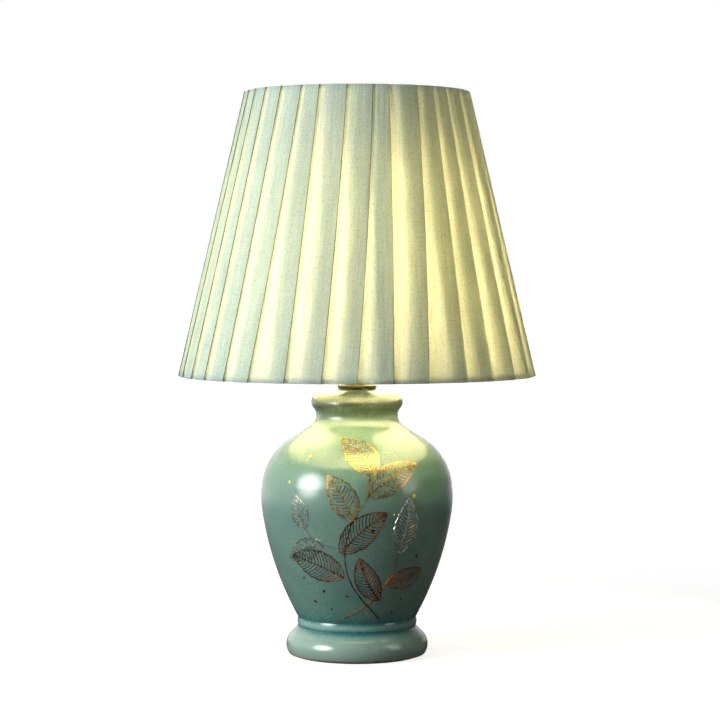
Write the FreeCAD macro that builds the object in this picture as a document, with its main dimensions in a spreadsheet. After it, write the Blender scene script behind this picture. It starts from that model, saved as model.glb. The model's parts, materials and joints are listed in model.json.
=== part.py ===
import FreeCAD, Part
import math
import os

import Sketcher
from FreeCAD import Placement, Rotation, Vector

# Table lamp: a glazed ginger jar on a felt pad, clamped by a threaded tube between its floor and
# its neck, with a screw lampholder, a filament bulb and a tapered knife-pleated shade.
# Millimetres, +Z up. The origin is the middle of the felt pad's underside, on the table.
# -Y is the front; the cord bush leaves at the back, +Y.

doc = FreeCAD.newDocument("GingerJarLamp")

# Driving sizes: name, value in mm (or degrees, or a count) and what it sets.
SIZES = [
    ("felt_radius", 50.0, "felt pad"),
    ("felt_thickness", 1.2, "felt pad"),
    ("foot_diameter", 111.4, "jar, widest line of the foot bead"),
    ("foot_bead_radius", 12.5, "jar, section of the foot bead"),
    ("foot_bead_height", 7.3, "jar, middle of the foot bead above its underside"),
    ("foot_edge_round", 1.6, "jar, rounding of the foot's lower edge"),
    ("foot_slope", 45.0, "jar, degrees that the foot bead falls away from the waist ring"),
    ("waist_ring_round", 12.0, "jar, section of the waist ring"),
    ("waist_diameter", 92.8, "jar, creases below and above the waist ring"),
    ("waist_height", 28.8, "jar, crease above the waist ring"),
    ("belly_diameter", 151.0, "jar, widest line"),
    ("belly_height", 124.1, "jar, widest line"),
    ("belly_round", 77.0, "jar, curve about the widest line"),
    ("flank_turn", 8.5, "jar, degrees of that curve below the widest line"),
    ("shoulder_turn", 8.5, "jar, degrees of that curve above the widest line"),
    ("shoulder_slope", 32.7, "jar, degrees that the shoulder falls away from the neck"),
    ("neck_diameter", 64.6, "jar, narrowest line of the neck"),
    ("neck_height", 187.4, "jar, narrowest line of the neck"),
    ("neck_round", 10.0, "jar, hollow curve from the shoulder into the neck"),
    ("neck_upper_round", 9.0, "jar, curve above the narrowest line"),
    ("lip_diameter", 72.3, "jar, widest line of the lip"),
    ("lip_height", 197.5, "jar, widest line of the lip"),
    ("lip_upper_round", 8.2, "jar, curve above the lip's widest line"),
    ("dome_radius", 120.0, "jar, shallow dome of the top, centred on the axis"),
    ("neck_bore", 26.0, "jar, hole in the top"),
    ("jar_wall", 5.0, "jar, wall"),
    ("jar_floor", 5.0, "jar, floor"),
    ("foot_recess_depth", 13.0, "jar, hollow under the floor"),
    ("foot_recess_diameter", 82.0, "jar, hollow under the floor"),
    ("top_deck", 7.0, "jar, thickness of the top round its bore"),
    ("cord_bore", 6.4, "cord bush, way for the cord"),
    ("bush_wall", 0.9, "cord bush, wall of its shank"),
    ("bush_flange", 1.8, "cord bush, thickness of its flange"),
    ("bush_flange_width", 2.2, "cord bush, flange beyond its shank"),
    ("bush_height", 7.1, "cord bush, axis above the jar's underside"),
    ("push_clearance", 0.1, "between a pushed-in piece and its hole"),
    ("tube_diameter", 10.0, "threaded tube, M10 x 1"),
    ("tube_bore", 8.0, "threaded tube, way for the cord"),
    ("tube_clearance", 0.3, "round the tube in plain holes"),
    ("thread_clearance", 0.05, "round a thread modelled plain"),
    ("floor_gasket_diameter", 44.0, "rubber washer under the jar's floor"),
    ("floor_gasket_thickness", 1.5, "rubber washer under the jar's floor"),
    ("floor_washer_diameter", 40.0, "steel washer under the gasket"),
    ("floor_washer_thickness", 1.5, "steel washer under the gasket"),
    ("lock_washer_diameter", 17.0, "lock washer"),
    ("lock_washer_thickness", 1.0, "lock washer"),
    ("nut_flats", 14.0, "tube nuts, across flats"),
    ("nut_thickness", 3.0, "tube nuts"),
    ("nut_chamfer", 0.6, "tube nuts, turned corners"),
    ("tube_tail", 2.0, "tube below its lower nut"),
    ("neck_gasket_diameter", 29.6, "rubber ring under the vase cap"),
    ("neck_gasket_thickness", 0.6, "rubber ring under the vase cap"),
    ("vase_cap_diameter", 30.8, "vase cap, flange"),
    ("vase_cap_flange", 1.8, "vase cap, flange"),
    ("vase_cap_edge", 0.6, "vase cap, rounded rim"),
    ("vase_cap_wall", 1.2, "vase cap, collar in the neck bore"),
    ("vase_cap_collar", 5.0, "vase cap, collar in the neck bore"),
    ("seat_gap", 0.2, "between pieces stacked on the tube"),
    ("holder_diameter", 39.0, "lampholder, plain outside"),
    ("holder_wall", 2.0, "lampholder, walls"),
    ("holder_cap_height", 21.0, "lampholder cap"),
    ("holder_skirt", 4.0, "lampholder cap, straight part above its shoulder"),
    ("holder_entry_diameter", 19.0, "lampholder cap, boss on the tube"),
    ("holder_rim_bore", 30.0, "lampholder shell, mouth"),
    ("holder_shell_height", 32.0, "lampholder shell"),
    ("holder_thread_diameter", 40.0, "lampholder shell, thread for the shade rings"),
    ("holder_thread_start", 6.0, "lampholder shell, thread above its lower end"),
    ("holder_thread_length", 20.0, "lampholder shell, thread"),
    ("grub_screw_diameter", 3.0, "grub screw in the boss"),
    ("grub_screw_length", 4.2, "grub screw in the boss"),
    ("block_height", 8.0, "contact block"),
    ("contact_thickness", 0.6, "contact springs"),
    ("contact_width", 5.0, "contact springs"),
    ("centre_contact_rise", 2.6, "centre contact above the contact block"),
    ("centre_contact_reach", 9.0, "centre contact, foot of the spring from the axis"),
    ("terminal_spacing", 20.0, "terminal screws, apart"),
    ("terminal_diameter", 3.0, "terminal screws"),
    ("terminal_head", 5.0, "terminal screws, head"),
    ("terminal_length", 5.0, "terminal screws, shank"),
    ("terminal_head_height", 1.8, "terminal screws, head"),
    ("screw_shell_height", 20.0, "brass screw shell"),
    ("screw_shell_wall", 0.5, "brass screw shell"),
    ("bulb_clearance", 0.3, "bulb cap in the screw shell, and bulb above the centre contact"),
    ("ring_height", 5.0, "shade rings"),
    ("ring_outside", 46.0, "shade rings"),
    ("ring_grips", 24, "shade rings, grooves round the outside"),
    ("ring_grip_depth", 0.6, "shade rings, grooves round the outside"),
    ("ring_seat", 8.0, "lower shade ring above the shell's lower end"),
    ("swivel_gap", 0.3, "shade fitter between the shade rings"),
    ("bulb_length", 106.0, "bulb, overall"),
    ("globe_diameter", 60.0, "bulb"),
    ("bulb_neck_diameter", 24.4, "bulb, glass above its cap"),
    ("bulb_neck_height", 30.0, "bulb, top of the straight glass neck"),
    ("glass_wall", 0.9, "bulb"),
    ("glass_foot_height", 21.0, "bulb, lower end of the glass"),
    ("bulb_cap_diameter", 26.2, "bulb, E27 cap over its thread"),
    ("bulb_cap_wall", 0.4, "bulb, E27 cap"),
    ("bulb_cap_foot", 6.5, "bulb, lower end of the cap's metal"),
    ("bulb_cap_top", 26.0, "bulb, upper end of the cap's metal"),
    ("eyelet_diameter", 10.0, "bulb, centre contact"),
    ("eyelet_height", 1.6, "bulb, centre contact"),
    ("stem_diameter", 8.0, "bulb, glass stem"),
    ("stem_foot_height", 4.0, "bulb, flared foot of the stem"),
    ("stem_post_diameter", 2.6, "bulb, thin post of the stem"),
    ("filament_count", 4, "bulb, filament sticks"),
    ("filament_diameter", 1.8, "bulb, filament sticks"),
    ("filament_circle", 15.0, "bulb, filament sticks about the axis"),
    ("filament_foot_height", 63.0, "bulb, lower end of the filament sticks"),
    ("filament_length", 28.0, "bulb, filament sticks"),
    ("hub_thickness", 1.2, "bulb, discs that carry the filament sticks"),
    ("shade_bottom_diameter", 280.0, "shade, over the folds at the lower rim"),
    ("shade_top_diameter", 176.6, "shade, over the folds at the upper rim"),
    ("shade_height", 221.5, "shade, upright height"),
    ("pleat_count", 32, "shade, knife pleats"),
    ("pleat_rise", 2.0, "shade, each fold over the next panel"),
    ("pleat_lap", 1.3, "shade, degrees that a fold laps its neighbour"),
    ("pleat_twist", 4.5, "shade, degrees that the folds lean from lower to upper rim"),
    ("pleat_start", -90.0, "shade, degrees at which one lower fold stands"),
    ("cloth_thickness", 0.9, "shade, cloth under the folds"),
    ("cover_flats", 96, "shade, flats round the inside of the cloth"),
    ("liner_gap", 0.1, "shade, glue between cloth and liner"),
    ("liner_thickness", 0.6, "shade, plastic film"),
    ("rim_wire", 3.2, "shade, steel rings"),
    ("rim_wire_rise", 2.4, "shade, ring's middle from the rim"),
    ("tape_thickness", 0.5, "shade, tape over the rings"),
    ("tape_gap", 0.1, "shade, tape to ring and to liner"),
    ("tape_leg", 1.2, "shade, tape inside the ring's middle"),
    ("tape_flats", 6, "shade, flats of the tape over half the ring's section"),
    ("fitter_bore", 42.0, "shade fitter, hole for the lampholder"),
    ("fitter_outside", 54.0, "shade fitter, flat ring"),
    ("fitter_thickness", 1.5, "shade fitter, flat ring"),
    ("fitter_recess", 30.1, "shade fitter above the lower rim"),
    ("arm_count", 3, "shade fitter, arms"),
    ("arm_wire", 3.0, "shade fitter, arms"),
    ("arm_weld", 2.0, "shade fitter, arm over the ring's edge"),
    ("arm_level", 9.0, "shade fitter, level length of an arm beyond the ring"),
    ("arm_bend", 12.0, "shade fitter, bend of an arm"),
    ("arm_turn", 90.0, "shade fitter, degrees at which one arm stands"),
    ("weld_gap", 0.05, "shade fitter, arm to lower ring"),
]

sheet = doc.addObject("Spreadsheet::Sheet", "Sizes")
for row, (alias, number, purpose) in enumerate(SIZES, start=1):
    sheet.set("A%d" % row, alias)
    sheet.set("B%d" % row, str(number))
    sheet.set("C%d" % row, purpose)
    sheet.setAlias("B%d" % row, alias)
doc.recompute()


class Size:
    """A size with its number and the formula on the sheet that gives it."""

    def __init__(self, number, text):
        self.number = float(number)
        self.text = text

    def __add__(self, other):
        other = as_size(other)
        return Size(self.number + other.number, "(%s + %s)" % (self.text, other.text))

    def __sub__(self, other):
        other = as_size(other)
        return Size(self.number - other.number, "(%s - %s)" % (self.text, other.text))

    def __mul__(self, other):
        other = as_size(other)
        return Size(self.number * other.number, "(%s * %s)" % (self.text, other.text))

    def __truediv__(self, other):
        other = as_size(other)
        return Size(self.number / other.number, "(%s / %s)" % (self.text, other.text))

    __radd__ = __add__
    __rmul__ = __mul__

    def __rsub__(self, other):
        return as_size(other) - self

    def __neg__(self):
        return self * -1


def as_size(number):
    return number if isinstance(number, Size) else Size(number, "%.10g" % number)


def root(size):
    """The square root of a size."""
    return Size(math.sqrt(size.number), "sqrt(%s)" % size.text)


def sine(angle):
    """The sine of a size in degrees."""
    return Size(math.sin(math.radians(angle.number)), "sin(%s)" % angle.text)


def cosine(angle):
    """The cosine of a size in degrees."""
    return Size(math.cos(math.radians(angle.number)), "cos(%s)" % angle.text)


def size(alias):
    """A driving size from the sheet."""
    return Size(float(getattr(sheet, alias)), "Sizes." + alias)


def polar(radius, degrees, height):
    angle = math.radians(degrees)
    return Vector(radius * math.cos(angle), radius * math.sin(angle), height)


# Sketches, bodies and features ------------------------------------------------------------


def bind(thing, path, value):
    """Tie a property to its formula on the sheet."""
    thing.setExpression(path, as_size(value).text)


def new_body(label, height=0):
    """A body whose own origin stands at a height on the lamp's axis."""
    body = doc.addObject("PartDesign::Body", label)
    body.Label = label
    bind(body, "Placement.Base.z", height)
    return body


def new_sketch(body, role, offset=0):
    """A sketch on one of the body's own planes, moved along the plane's normal."""
    sketch = body.newObject("Sketcher::SketchObject", body.Name + "Sketch")
    plane = next(f for f in body.Origin.OriginFeatures if f.Role == role)
    sketch.AttachmentSupport = [(plane, "")]
    sketch.MapMode = "FlatFace"
    bind(sketch, "AttachmentOffset.Base.z", offset)
    return sketch


def fix_point(sketch, edge, end, across, up):
    """Hold a point of an edge at its two distances from the sketch's origin."""
    for kind, value in (("DistanceX", across), ("DistanceY", up)):
        value = as_size(value)
        index = sketch.addConstraint(Sketcher.Constraint(kind, -1, 1, edge, end, value.number))
        bind(sketch, "Constraints[%d]" % index, value)


def arc_through(start, end, radius, turn):
    """The shorter arc between two points; turn is 1 to the left on the way, -1 to the right."""
    chord = end - start
    middle = (start + end) * 0.5
    left = Vector(-chord.y, chord.x, 0).normalize()
    depth = math.sqrt(max(radius * radius - chord.Length * chord.Length / 4, 0))
    centre = middle + left * depth * turn
    first, last = (start, end) if turn > 0 else (end, start)
    begin = math.atan2(first.y - centre.y, first.x - centre.x)
    finish = math.atan2(last.y - centre.y, last.x - centre.x)
    if finish < begin:
        finish += 2 * math.pi
    return Part.ArcOfCircle(Part.Circle(centre, Vector(0, 0, 1), radius), begin, finish)


def draw_outline(sketch, corners, closed=True):
    """Lines and arcs through corners. A corner is (across, up), or (across, up, radius, turn)
    where the edge that leaves it is an arc."""
    corners = [tuple(as_size(v) for v in c[:3]) + tuple(c[3:]) for c in corners]
    count = len(corners) if closed else len(corners) - 1
    ends = []
    for here in range(count):
        corner, following = corners[here], corners[(here + 1) % len(corners)]
        start = Vector(corner[0].number, corner[1].number, 0)
        end = Vector(following[0].number, following[1].number, 0)
        if len(corner) == 2:
            edge = sketch.addGeometry(Part.LineSegment(start, end), False)
            ends.append((edge, 1, 2))
            continue
        radius, turn = corner[2], corner[3]
        edge = sketch.addGeometry(arc_through(start, end, radius.number, turn), False)
        ends.append((edge, 1, 2) if turn > 0 else (edge, 2, 1))
        index = sketch.addConstraint(Sketcher.Constraint("Radius", edge, radius.number))
        bind(sketch, "Constraints[%d]" % index, radius)
    for here in range(count):
        edge, first, last = ends[here]
        if closed or here + 1 < count:
            following, its_first, _ = ends[(here + 1) % count]
            joint = Sketcher.Constraint("Coincident", edge, last, following, its_first)
            sketch.addConstraint(joint)
        fix_point(sketch, edge, first, corners[here][0], corners[here][1])
    if not closed:
        edge, _, last = ends[-1]
        fix_point(sketch, edge, last, corners[-1][0], corners[-1][1])


def draw_circle(sketch, across, up, radius):
    across, up, radius = as_size(across), as_size(up), as_size(radius)
    centre = Vector(across.number, up.number, 0)
    edge = sketch.addGeometry(Part.Circle(centre, Vector(0, 0, 1), radius.number), False)
    fix_point(sketch, edge, 3, across, up)
    index = sketch.addConstraint(Sketcher.Constraint("Radius", edge, radius.number))
    bind(sketch, "Constraints[%d]" % index, radius)


def revolve(body, corners, feature="PartDesign::Revolution"):
    """Turn an outline, (radius, height) corners, about the body's Z axis."""
    sketch = new_sketch(body, "XZ_Plane")
    draw_outline(sketch, corners)
    turned = body.newObject(feature, body.Name + "Turned")
    turned.Profile = sketch
    turned.ReferenceAxis = (sketch, ["V_Axis"])
    turned.Angle = 360
    doc.recompute()
    return turned


def cut_turned(body, corners):
    """Turn a hollow out of the body."""
    before = body.Shape.Volume
    feature = revolve(body, corners, "PartDesign::Groove")
    assert body.Shape.Volume < before, body.Label + ": the groove cuts nothing"
    return feature


def extrude(body, sketch, length, symmetric=False):
    pad = body.newObject("PartDesign::Pad", body.Name + "Pad")
    pad.Profile = sketch
    pad.SideType = "Symmetric" if symmetric else "One side"
    bind(pad, "Length", length)
    doc.recompute()
    return pad


def cut_through(body, sketch, reverse=False):
    """Cut a sketch right through the body on one side of its plane."""
    before = body.Shape.Volume
    pocket = body.newObject("PartDesign::Pocket", body.Name + "Pocket")
    pocket.Profile = sketch
    pocket.Type = "ThroughAll"
    pocket.Reversed = reverse
    doc.recompute()
    assert body.Shape.Volume < before, body.Label + ": the pocket cuts nothing"
    return pocket


def repeat_round(body, feature, count):
    """Repeat a feature evenly about the body's Z axis."""
    pattern = body.newObject("PartDesign::PolarPattern", body.Name + "Pattern")
    pattern.Originals = [feature]
    axis = next(f for f in body.Origin.OriginFeatures if f.Role == "Z_Axis")
    pattern.Axis = (axis, [""])
    pattern.Angle = 360
    bind(pattern, "Occurrences", count)
    body.Tip = pattern
    doc.recompute()
    return pattern


def turned_body(label, height, corners):
    body = new_body(label, height)
    revolve(body, corners)
    return body


def ring_body(label, height, outside, bore, thickness):
    """A flat ring or disc."""
    corners = [(bore / 2, 0), (outside / 2, 0), (outside / 2, thickness), (bore / 2, thickness)]
    return turned_body(label, height, corners)


pieces = []


def keep(piece):
    pieces.append(piece)
    return piece


# Derived heights on the lamp's axis --------------------------------------------------------

jar_underside = size("felt_thickness")
floor_underside = jar_underside + size("foot_recess_depth")
floor_gasket_z = floor_underside - size("floor_gasket_thickness")
floor_washer_z = floor_gasket_z - size("floor_washer_thickness")
lock_washer_z = floor_washer_z - size("lock_washer_thickness")
floor_nut_z = lock_washer_z - size("nut_thickness")
tube_foot_z = floor_nut_z - size("tube_tail")

lip_centre_r = size("lip_diameter") / 2 - size("lip_upper_round")
dome_to_lip = size("dome_radius") - size("lip_upper_round")
dome_centre = size("lip_height") - root(dome_to_lip * dome_to_lip - lip_centre_r * lip_centre_r)
bore_radius = size("neck_bore") / 2
dome_squared = size("dome_radius") * size("dome_radius")
jar_top = dome_centre + root(dome_squared - bore_radius * bore_radius)

neck_gasket_z = jar_underside + jar_top
vase_cap_z = neck_gasket_z + size("neck_gasket_thickness")
neck_nut_z = vase_cap_z + size("vase_cap_flange")
holder_z = neck_nut_z + size("nut_thickness") + size("seat_gap")
holder_bend = (size("holder_diameter") - size("holder_entry_diameter")) / 2
boss_height = size("holder_cap_height") - size("holder_skirt") - holder_bend
tube_top_z = holder_z + boss_height + size("holder_wall")
shell_z = holder_z + size("holder_cap_height")
block_z = shell_z - size("holder_skirt")
block_top_z = block_z + size("block_height")
lower_ring_z = shell_z + size("ring_seat")
fitter_z = lower_ring_z + size("ring_height") + size("swivel_gap")
upper_ring_z = fitter_z + size("fitter_thickness") + size("swivel_gap")
bulb_z = block_top_z + size("centre_contact_rise") + size("bulb_clearance")
shade_z = fitter_z - size("fitter_recess")


# Foot pad and jar --------------------------------------------------------------------------


def felt_pad():
    body = new_body("felt_pad")
    sketch = new_sketch(body, "XY_Plane")
    draw_circle(sketch, 0, 0, size("felt_radius"))
    extrude(body, sketch, size("felt_thickness"))
    return body


def from_centre(centre, direction, distance):
    return centre[0] + direction[0] * distance, centre[1] + direction[1] * distance


def dot(first, second):
    return first[0] * second[0] + first[1] * second[1]


def s_curve(low_radius, low_height, high_radius, high_height, low_round):
    """Two arcs that meet smoothly and stand upright at both ends, as between neck and lip.
    Gives the point where they meet and the upper arc's radius."""
    outward = high_radius - low_radius
    rise = high_height - low_height
    reach = (outward * outward + rise * rise) / (outward * 2)
    share = low_round / reach
    meet = (low_radius + outward * share, low_height + rise * share)
    return meet, reach - low_round


class JarCurves:
    """The jar's curves between its waist and its neck: a flat one up the flank, a rounder one
    about the widest line, the shoulder's, a straight slope and the hollow of the neck. Each runs
    smoothly into the next."""

    def __init__(self):
        belly_r = size("belly_diameter") / 2
        self.belly_round = size("belly_round")
        self.middle = (belly_r - self.belly_round, size("belly_height"))
        self.waist = (size("waist_diameter") / 2, size("waist_height"))
        self.neck = (size("neck_diameter") / 2, size("neck_height"))
        self.below = (cosine(size("flank_turn")), -sine(size("flank_turn")))
        self.above = (cosine(size("shoulder_turn")), sine(size("shoulder_turn")))
        self.slope = (sine(size("shoulder_slope")), cosine(size("shoulder_slope")))
        # The flank's circle touches the belly's and goes through the waist's crease.
        flank_top = from_centre(self.middle, self.below, self.belly_round)
        chord = (self.waist[0] - flank_top[0], self.waist[1] - flank_top[1])
        self.flank_round = dot(chord, chord) / (dot(chord, self.below) * -2)
        flank_reach = self.belly_round - self.flank_round
        self.flank_centre = from_centre(self.middle, self.below, flank_reach)
        # The shoulder's circle touches the belly's and the slope that runs into the neck's.
        self.neck_round = size("neck_round")
        self.neck_centre = (self.neck[0] + self.neck_round, self.neck[1])
        slope_reach = dot(self.slope, self.neck_centre) - self.neck_round
        shoulder_foot = from_centre(self.middle, self.above, self.belly_round)
        short = slope_reach - dot(self.slope, shoulder_foot)
        self.shoulder_round = short / (1 - dot(self.slope, self.above))
        shoulder_reach = self.belly_round - self.shoulder_round
        self.shoulder_centre = from_centre(self.middle, self.above, shoulder_reach)

    def corners(self, inset):
        """The curves' corners from waist to neck, an even distance inside the jar's outside."""
        share = inset / self.flank_round
        outward = (self.waist[0] - self.flank_centre[0], self.waist[1] - self.flank_centre[1])
        belly_round = self.belly_round - inset
        shoulder_round = self.shoulder_round - inset
        neck_round = self.neck_round + inset
        flank_foot = from_centre(self.waist, outward, -share)
        flank_top = from_centre(self.middle, self.below, belly_round)
        shoulder_foot = from_centre(self.middle, self.above, belly_round)
        slope_foot = from_centre(self.shoulder_centre, self.slope, shoulder_round)
        slope_top = from_centre(self.neck_centre, self.slope, -neck_round)
        return [
            (*flank_foot, self.flank_round - inset, 1),
            (*flank_top, belly_round, 1),
            (*shoulder_foot, shoulder_round, 1),
            slope_foot,
            (*slope_top, neck_round, -1),
        ]


def ceramic_jar():
    """The jar: turned outside, cast hollow, with a recessed floor and a hole for the cord."""
    body = new_body("ceramic_jar", jar_underside)
    wall = size("jar_wall")
    curves = JarCurves()
    foot_r = size("foot_diameter") / 2
    bead = size("foot_bead_radius")
    bead_centre = (foot_r - bead, size("foot_bead_height"))
    foot_edge_r = bead_centre[0] + root(bead * bead - bead_centre[1] * bead_centre[1])
    slope = (sine(size("foot_slope")), cosine(size("foot_slope")))
    bead_top = from_centre(bead_centre, slope, bead)
    waist_r = size("waist_diameter") / 2
    lower_crease = bead_top[1] + (bead_top[0] - waist_r) * slope[0] / slope[1]
    neck_r = size("neck_diameter") / 2
    neck_z = size("neck_height")
    lip_r = size("lip_diameter") / 2
    lip_z = size("lip_height")
    lip_meet, lip_lower_round = s_curve(neck_r, neck_z, lip_r, lip_z, size("neck_upper_round"))
    roll = size("lip_upper_round") / dome_to_lip
    roll_end = (lip_centre_r + lip_centre_r * roll, lip_z + (lip_z - dome_centre) * roll)
    revolve(body, [
        (0, 0),
        (foot_edge_r, 0, bead, 1),
        bead_top,
        (waist_r, lower_crease, size("waist_ring_round"), 1),
        *curves.corners(as_size(0)),
        (neck_r, neck_z, size("neck_upper_round"), -1),
        (*lip_meet, lip_lower_round, 1),
        (lip_r, lip_z, size("lip_upper_round"), 1),
        (*roll_end, size("dome_radius"), 1),
        (bore_radius, jar_top),
        (0, jar_top),
    ])
    # The cavity keeps the wall inside the flank, the belly, the shoulder and the neck.
    floor_top = size("foot_recess_depth") + size("jar_floor")
    cavity = curves.corners(wall)
    deck_underside = jar_top - size("top_deck")
    cut_turned(body, [
        (0, floor_top),
        (cavity[0][0], floor_top),
        *cavity,
        (neck_r - wall, neck_z),
        (neck_r - wall, deck_underside),
        (bore_radius, deck_underside),
        (bore_radius, jar_top + 1),
        (0, jar_top + 1),
    ])
    recess_r = size("foot_recess_diameter") / 2
    recess = size("foot_recess_depth")
    tube_hole = size("tube_diameter") / 2 + size("tube_clearance")
    cut_turned(body, [
        (0, -1),
        (recess_r, -1),
        (recess_r, recess),
        (tube_hole, recess),
        (tube_hole, floor_top + 1),
        (0, floor_top + 1),
    ])
    hole = new_sketch(body, "XZ_Plane")
    hole_r = size("cord_bore") / 2 + size("bush_wall") + size("push_clearance")
    draw_circle(hole, 0, size("bush_height"), hole_r)
    cut_through(body, hole)
    # The lower edge of the foot is rounded off.
    edges = body.Shape.Edges
    placed_edge = foot_edge_r.number
    foot_edges = [
        "Edge%d" % (n + 1)
        for n, edge in enumerate(edges)
        if isinstance(edge.Curve, Part.Circle)
        and abs(edge.Curve.Radius - placed_edge) < 0.01
        and abs(edge.Curve.Center.z - jar_underside.number) < 0.01
    ]
    sharp = body.Tip
    rounding = body.newObject("PartDesign::Fillet", "FootEdge")
    rounding.Base = (sharp, foot_edges)
    bind(rounding, "Radius", size("foot_edge_round"))
    doc.recompute()
    return body


def cord_bush():
    """The plastic bush that lines the cord's way out through the back of the foot."""
    body = doc.addObject("PartDesign::Body", "cord_bush")
    body.Label = "cord_bush"
    bore = size("cord_bore") / 2
    shank = bore + size("bush_wall")
    flange = shank + size("bush_flange_width")
    seat = size("foot_diameter") / 2
    length = seat - size("foot_recess_diameter") / 2
    revolve(body, [
        (bore, -length),
        (shank, -length),
        (shank, 0),
        (flange, 0),
        (flange, size("bush_flange") / 2),
        (flange - size("bush_flange") / 2, size("bush_flange")),
        (bore, size("bush_flange")),
    ])
    body.Placement = Placement(Vector(0, 0, 0), Rotation(Vector(1, 0, 0), -90))
    bind(body, "Placement.Base.y", seat)
    bind(body, "Placement.Base.z", jar_underside + size("bush_height"))
    return body


# Tube and its fastenings -------------------------------------------------------------------


def tube_nut(label, height):
    """A thin hexagon nut with turned corners."""
    body = new_body(label, height)
    half = size("nut_flats") / 2
    corner = size("nut_flats") / math.sqrt(3)
    sketch = new_sketch(body, "XY_Plane")
    draw_outline(sketch, [
        (corner, 0),
        (corner / 2, half),
        (-corner / 2, half),
        (-corner, 0),
        (-corner / 2, -half),
        (corner / 2, -half),
    ])
    draw_circle(sketch, 0, 0, size("tube_diameter") / 2 + size("thread_clearance"))
    extrude(body, sketch, size("nut_thickness"))
    chamfer = size("nut_chamfer")
    top = size("nut_thickness")
    beyond = corner + chamfer
    cut_turned(body, [(half, top), (beyond, top), (beyond, top - chamfer * 2)])
    cut_turned(body, [(half, 0), (beyond, 0), (beyond, chamfer * 2)])
    return body


def threaded_tube():
    length = tube_top_z - tube_foot_z
    return ring_body("threaded_tube", tube_foot_z, size("tube_diameter"), size("tube_bore"), length)


def vase_cap():
    """The dark turned cap on the jar's neck, with a collar that centres it in the bore."""
    hole = size("tube_diameter") / 2 + size("tube_clearance")
    collar = bore_radius - size("tube_clearance")
    wall = size("vase_cap_wall")
    flange = size("vase_cap_flange")
    rim = size("vase_cap_diameter") / 2
    edge = size("vase_cap_edge")
    depth = size("vase_cap_collar")
    return turned_body("vase_cap", vase_cap_z, [
        (hole, 0),
        (collar - wall, 0),
        (collar - wall, -depth),
        (collar, -depth),
        (collar, 0),
        (rim - edge, 0, edge, 1),
        (rim, edge),
        (rim, flange - edge, edge, 1),
        (rim - edge, flange),
        (hole, flange),
    ])


def plain_washers():
    tube_hole = size("tube_diameter") + size("tube_clearance") * 2
    collar = size("neck_bore") - size("tube_clearance") * 2 + size("push_clearance") * 2
    return [
        ring_body("floor_gasket", floor_gasket_z, size("floor_gasket_diameter"), tube_hole,
                  size("floor_gasket_thickness")),
        ring_body("floor_washer", floor_washer_z, size("floor_washer_diameter"), tube_hole,
                  size("floor_washer_thickness")),
        ring_body("lock_washer", lock_washer_z, size("lock_washer_diameter"), tube_hole,
                  size("lock_washer_thickness")),
        ring_body("neck_gasket", neck_gasket_z, size("neck_gasket_diameter"), collar,
                  size("neck_gasket_thickness")),
    ]


# Lampholder --------------------------------------------------------------------------------


def holder_cap():
    """The lower half of the lampholder, screwed onto the tube by its boss."""
    outer = size("holder_diameter") / 2
    wall = size("holder_wall")
    boss = size("holder_entry_diameter") / 2
    height = size("holder_cap_height")
    bend_top = height - size("holder_skirt")
    bore = size("tube_diameter") / 2 + size("thread_clearance")
    body = turned_body("holder_cap", holder_z, [
        (bore, 0),
        (boss, 0),
        (boss, boss_height, holder_bend, 1),
        (outer, bend_top),
        (outer, height),
        (outer - wall, height),
        (outer - wall, bend_top, holder_bend - wall, -1),
        (boss, boss_height + wall),
        (bore, boss_height + wall),
    ])
    hole = new_sketch(body, "YZ_Plane")
    hole_r = size("grub_screw_diameter") / 2 + size("thread_clearance")
    draw_circle(hole, 0, boss_height / 2, hole_r)
    cut_through(body, hole, True)
    return body


def grub_screw():
    """A socket grub screw that stops the lampholder turning on the tube."""
    body = doc.addObject("PartDesign::Body", "grub_screw")
    body.Label = "grub_screw"
    radius = size("grub_screw_diameter") / 2
    length = size("grub_screw_length")
    revolve(body, [
        (0, 0),
        (radius / 2, 0),
        (radius, radius / 2),
        (radius, length),
        (radius / 2, length),
        (radius / 2, length - radius),
        (0, length - radius),
    ])
    body.Placement = Placement(Vector(0, 0, 0), Rotation(Vector(0, 1, 0), 90))
    bind(body, "Placement.Base.x", size("tube_diameter") / 2 + size("thread_clearance"))
    bind(body, "Placement.Base.z", holder_z + boss_height / 2)
    return body


def holder_shell():
    """The upper half of the lampholder, with the thread that carries the shade rings."""
    outer = size("holder_diameter") / 2
    thread = size("holder_thread_diameter") / 2
    inner = outer - size("holder_wall")
    start = size("holder_thread_start")
    end = start + size("holder_thread_length")
    height = size("holder_shell_height")
    mouth = size("holder_rim_bore") / 2
    wall = size("holder_wall")
    return turned_body("holder_shell", shell_z, [
        (inner, 0),
        (outer, 0),
        (outer, start),
        (thread, start),
        (thread, end),
        (outer, end),
        (outer, height - wall, wall, 1),
        (outer - wall, height),
        (mouth, height),
        (mouth, height - wall),
        (inner, height - wall),
    ])


def contact_block():
    """The insulating block inside the lampholder, with wells for the two terminals."""
    inner = size("holder_diameter") / 2 - size("holder_wall") - size("push_clearance")
    height = size("block_height")
    body = ring_body("contact_block", block_z, inner * 2, size("tube_diameter"), height)
    well = new_sketch(body, "XY_Plane")
    well_r = size("terminal_head") / 2 + size("seat_gap")
    for side in (-1, 1):
        draw_circle(well, 0, size("terminal_spacing") / 2 * side, well_r)
    cut_through(body, well, True)
    return body


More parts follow.
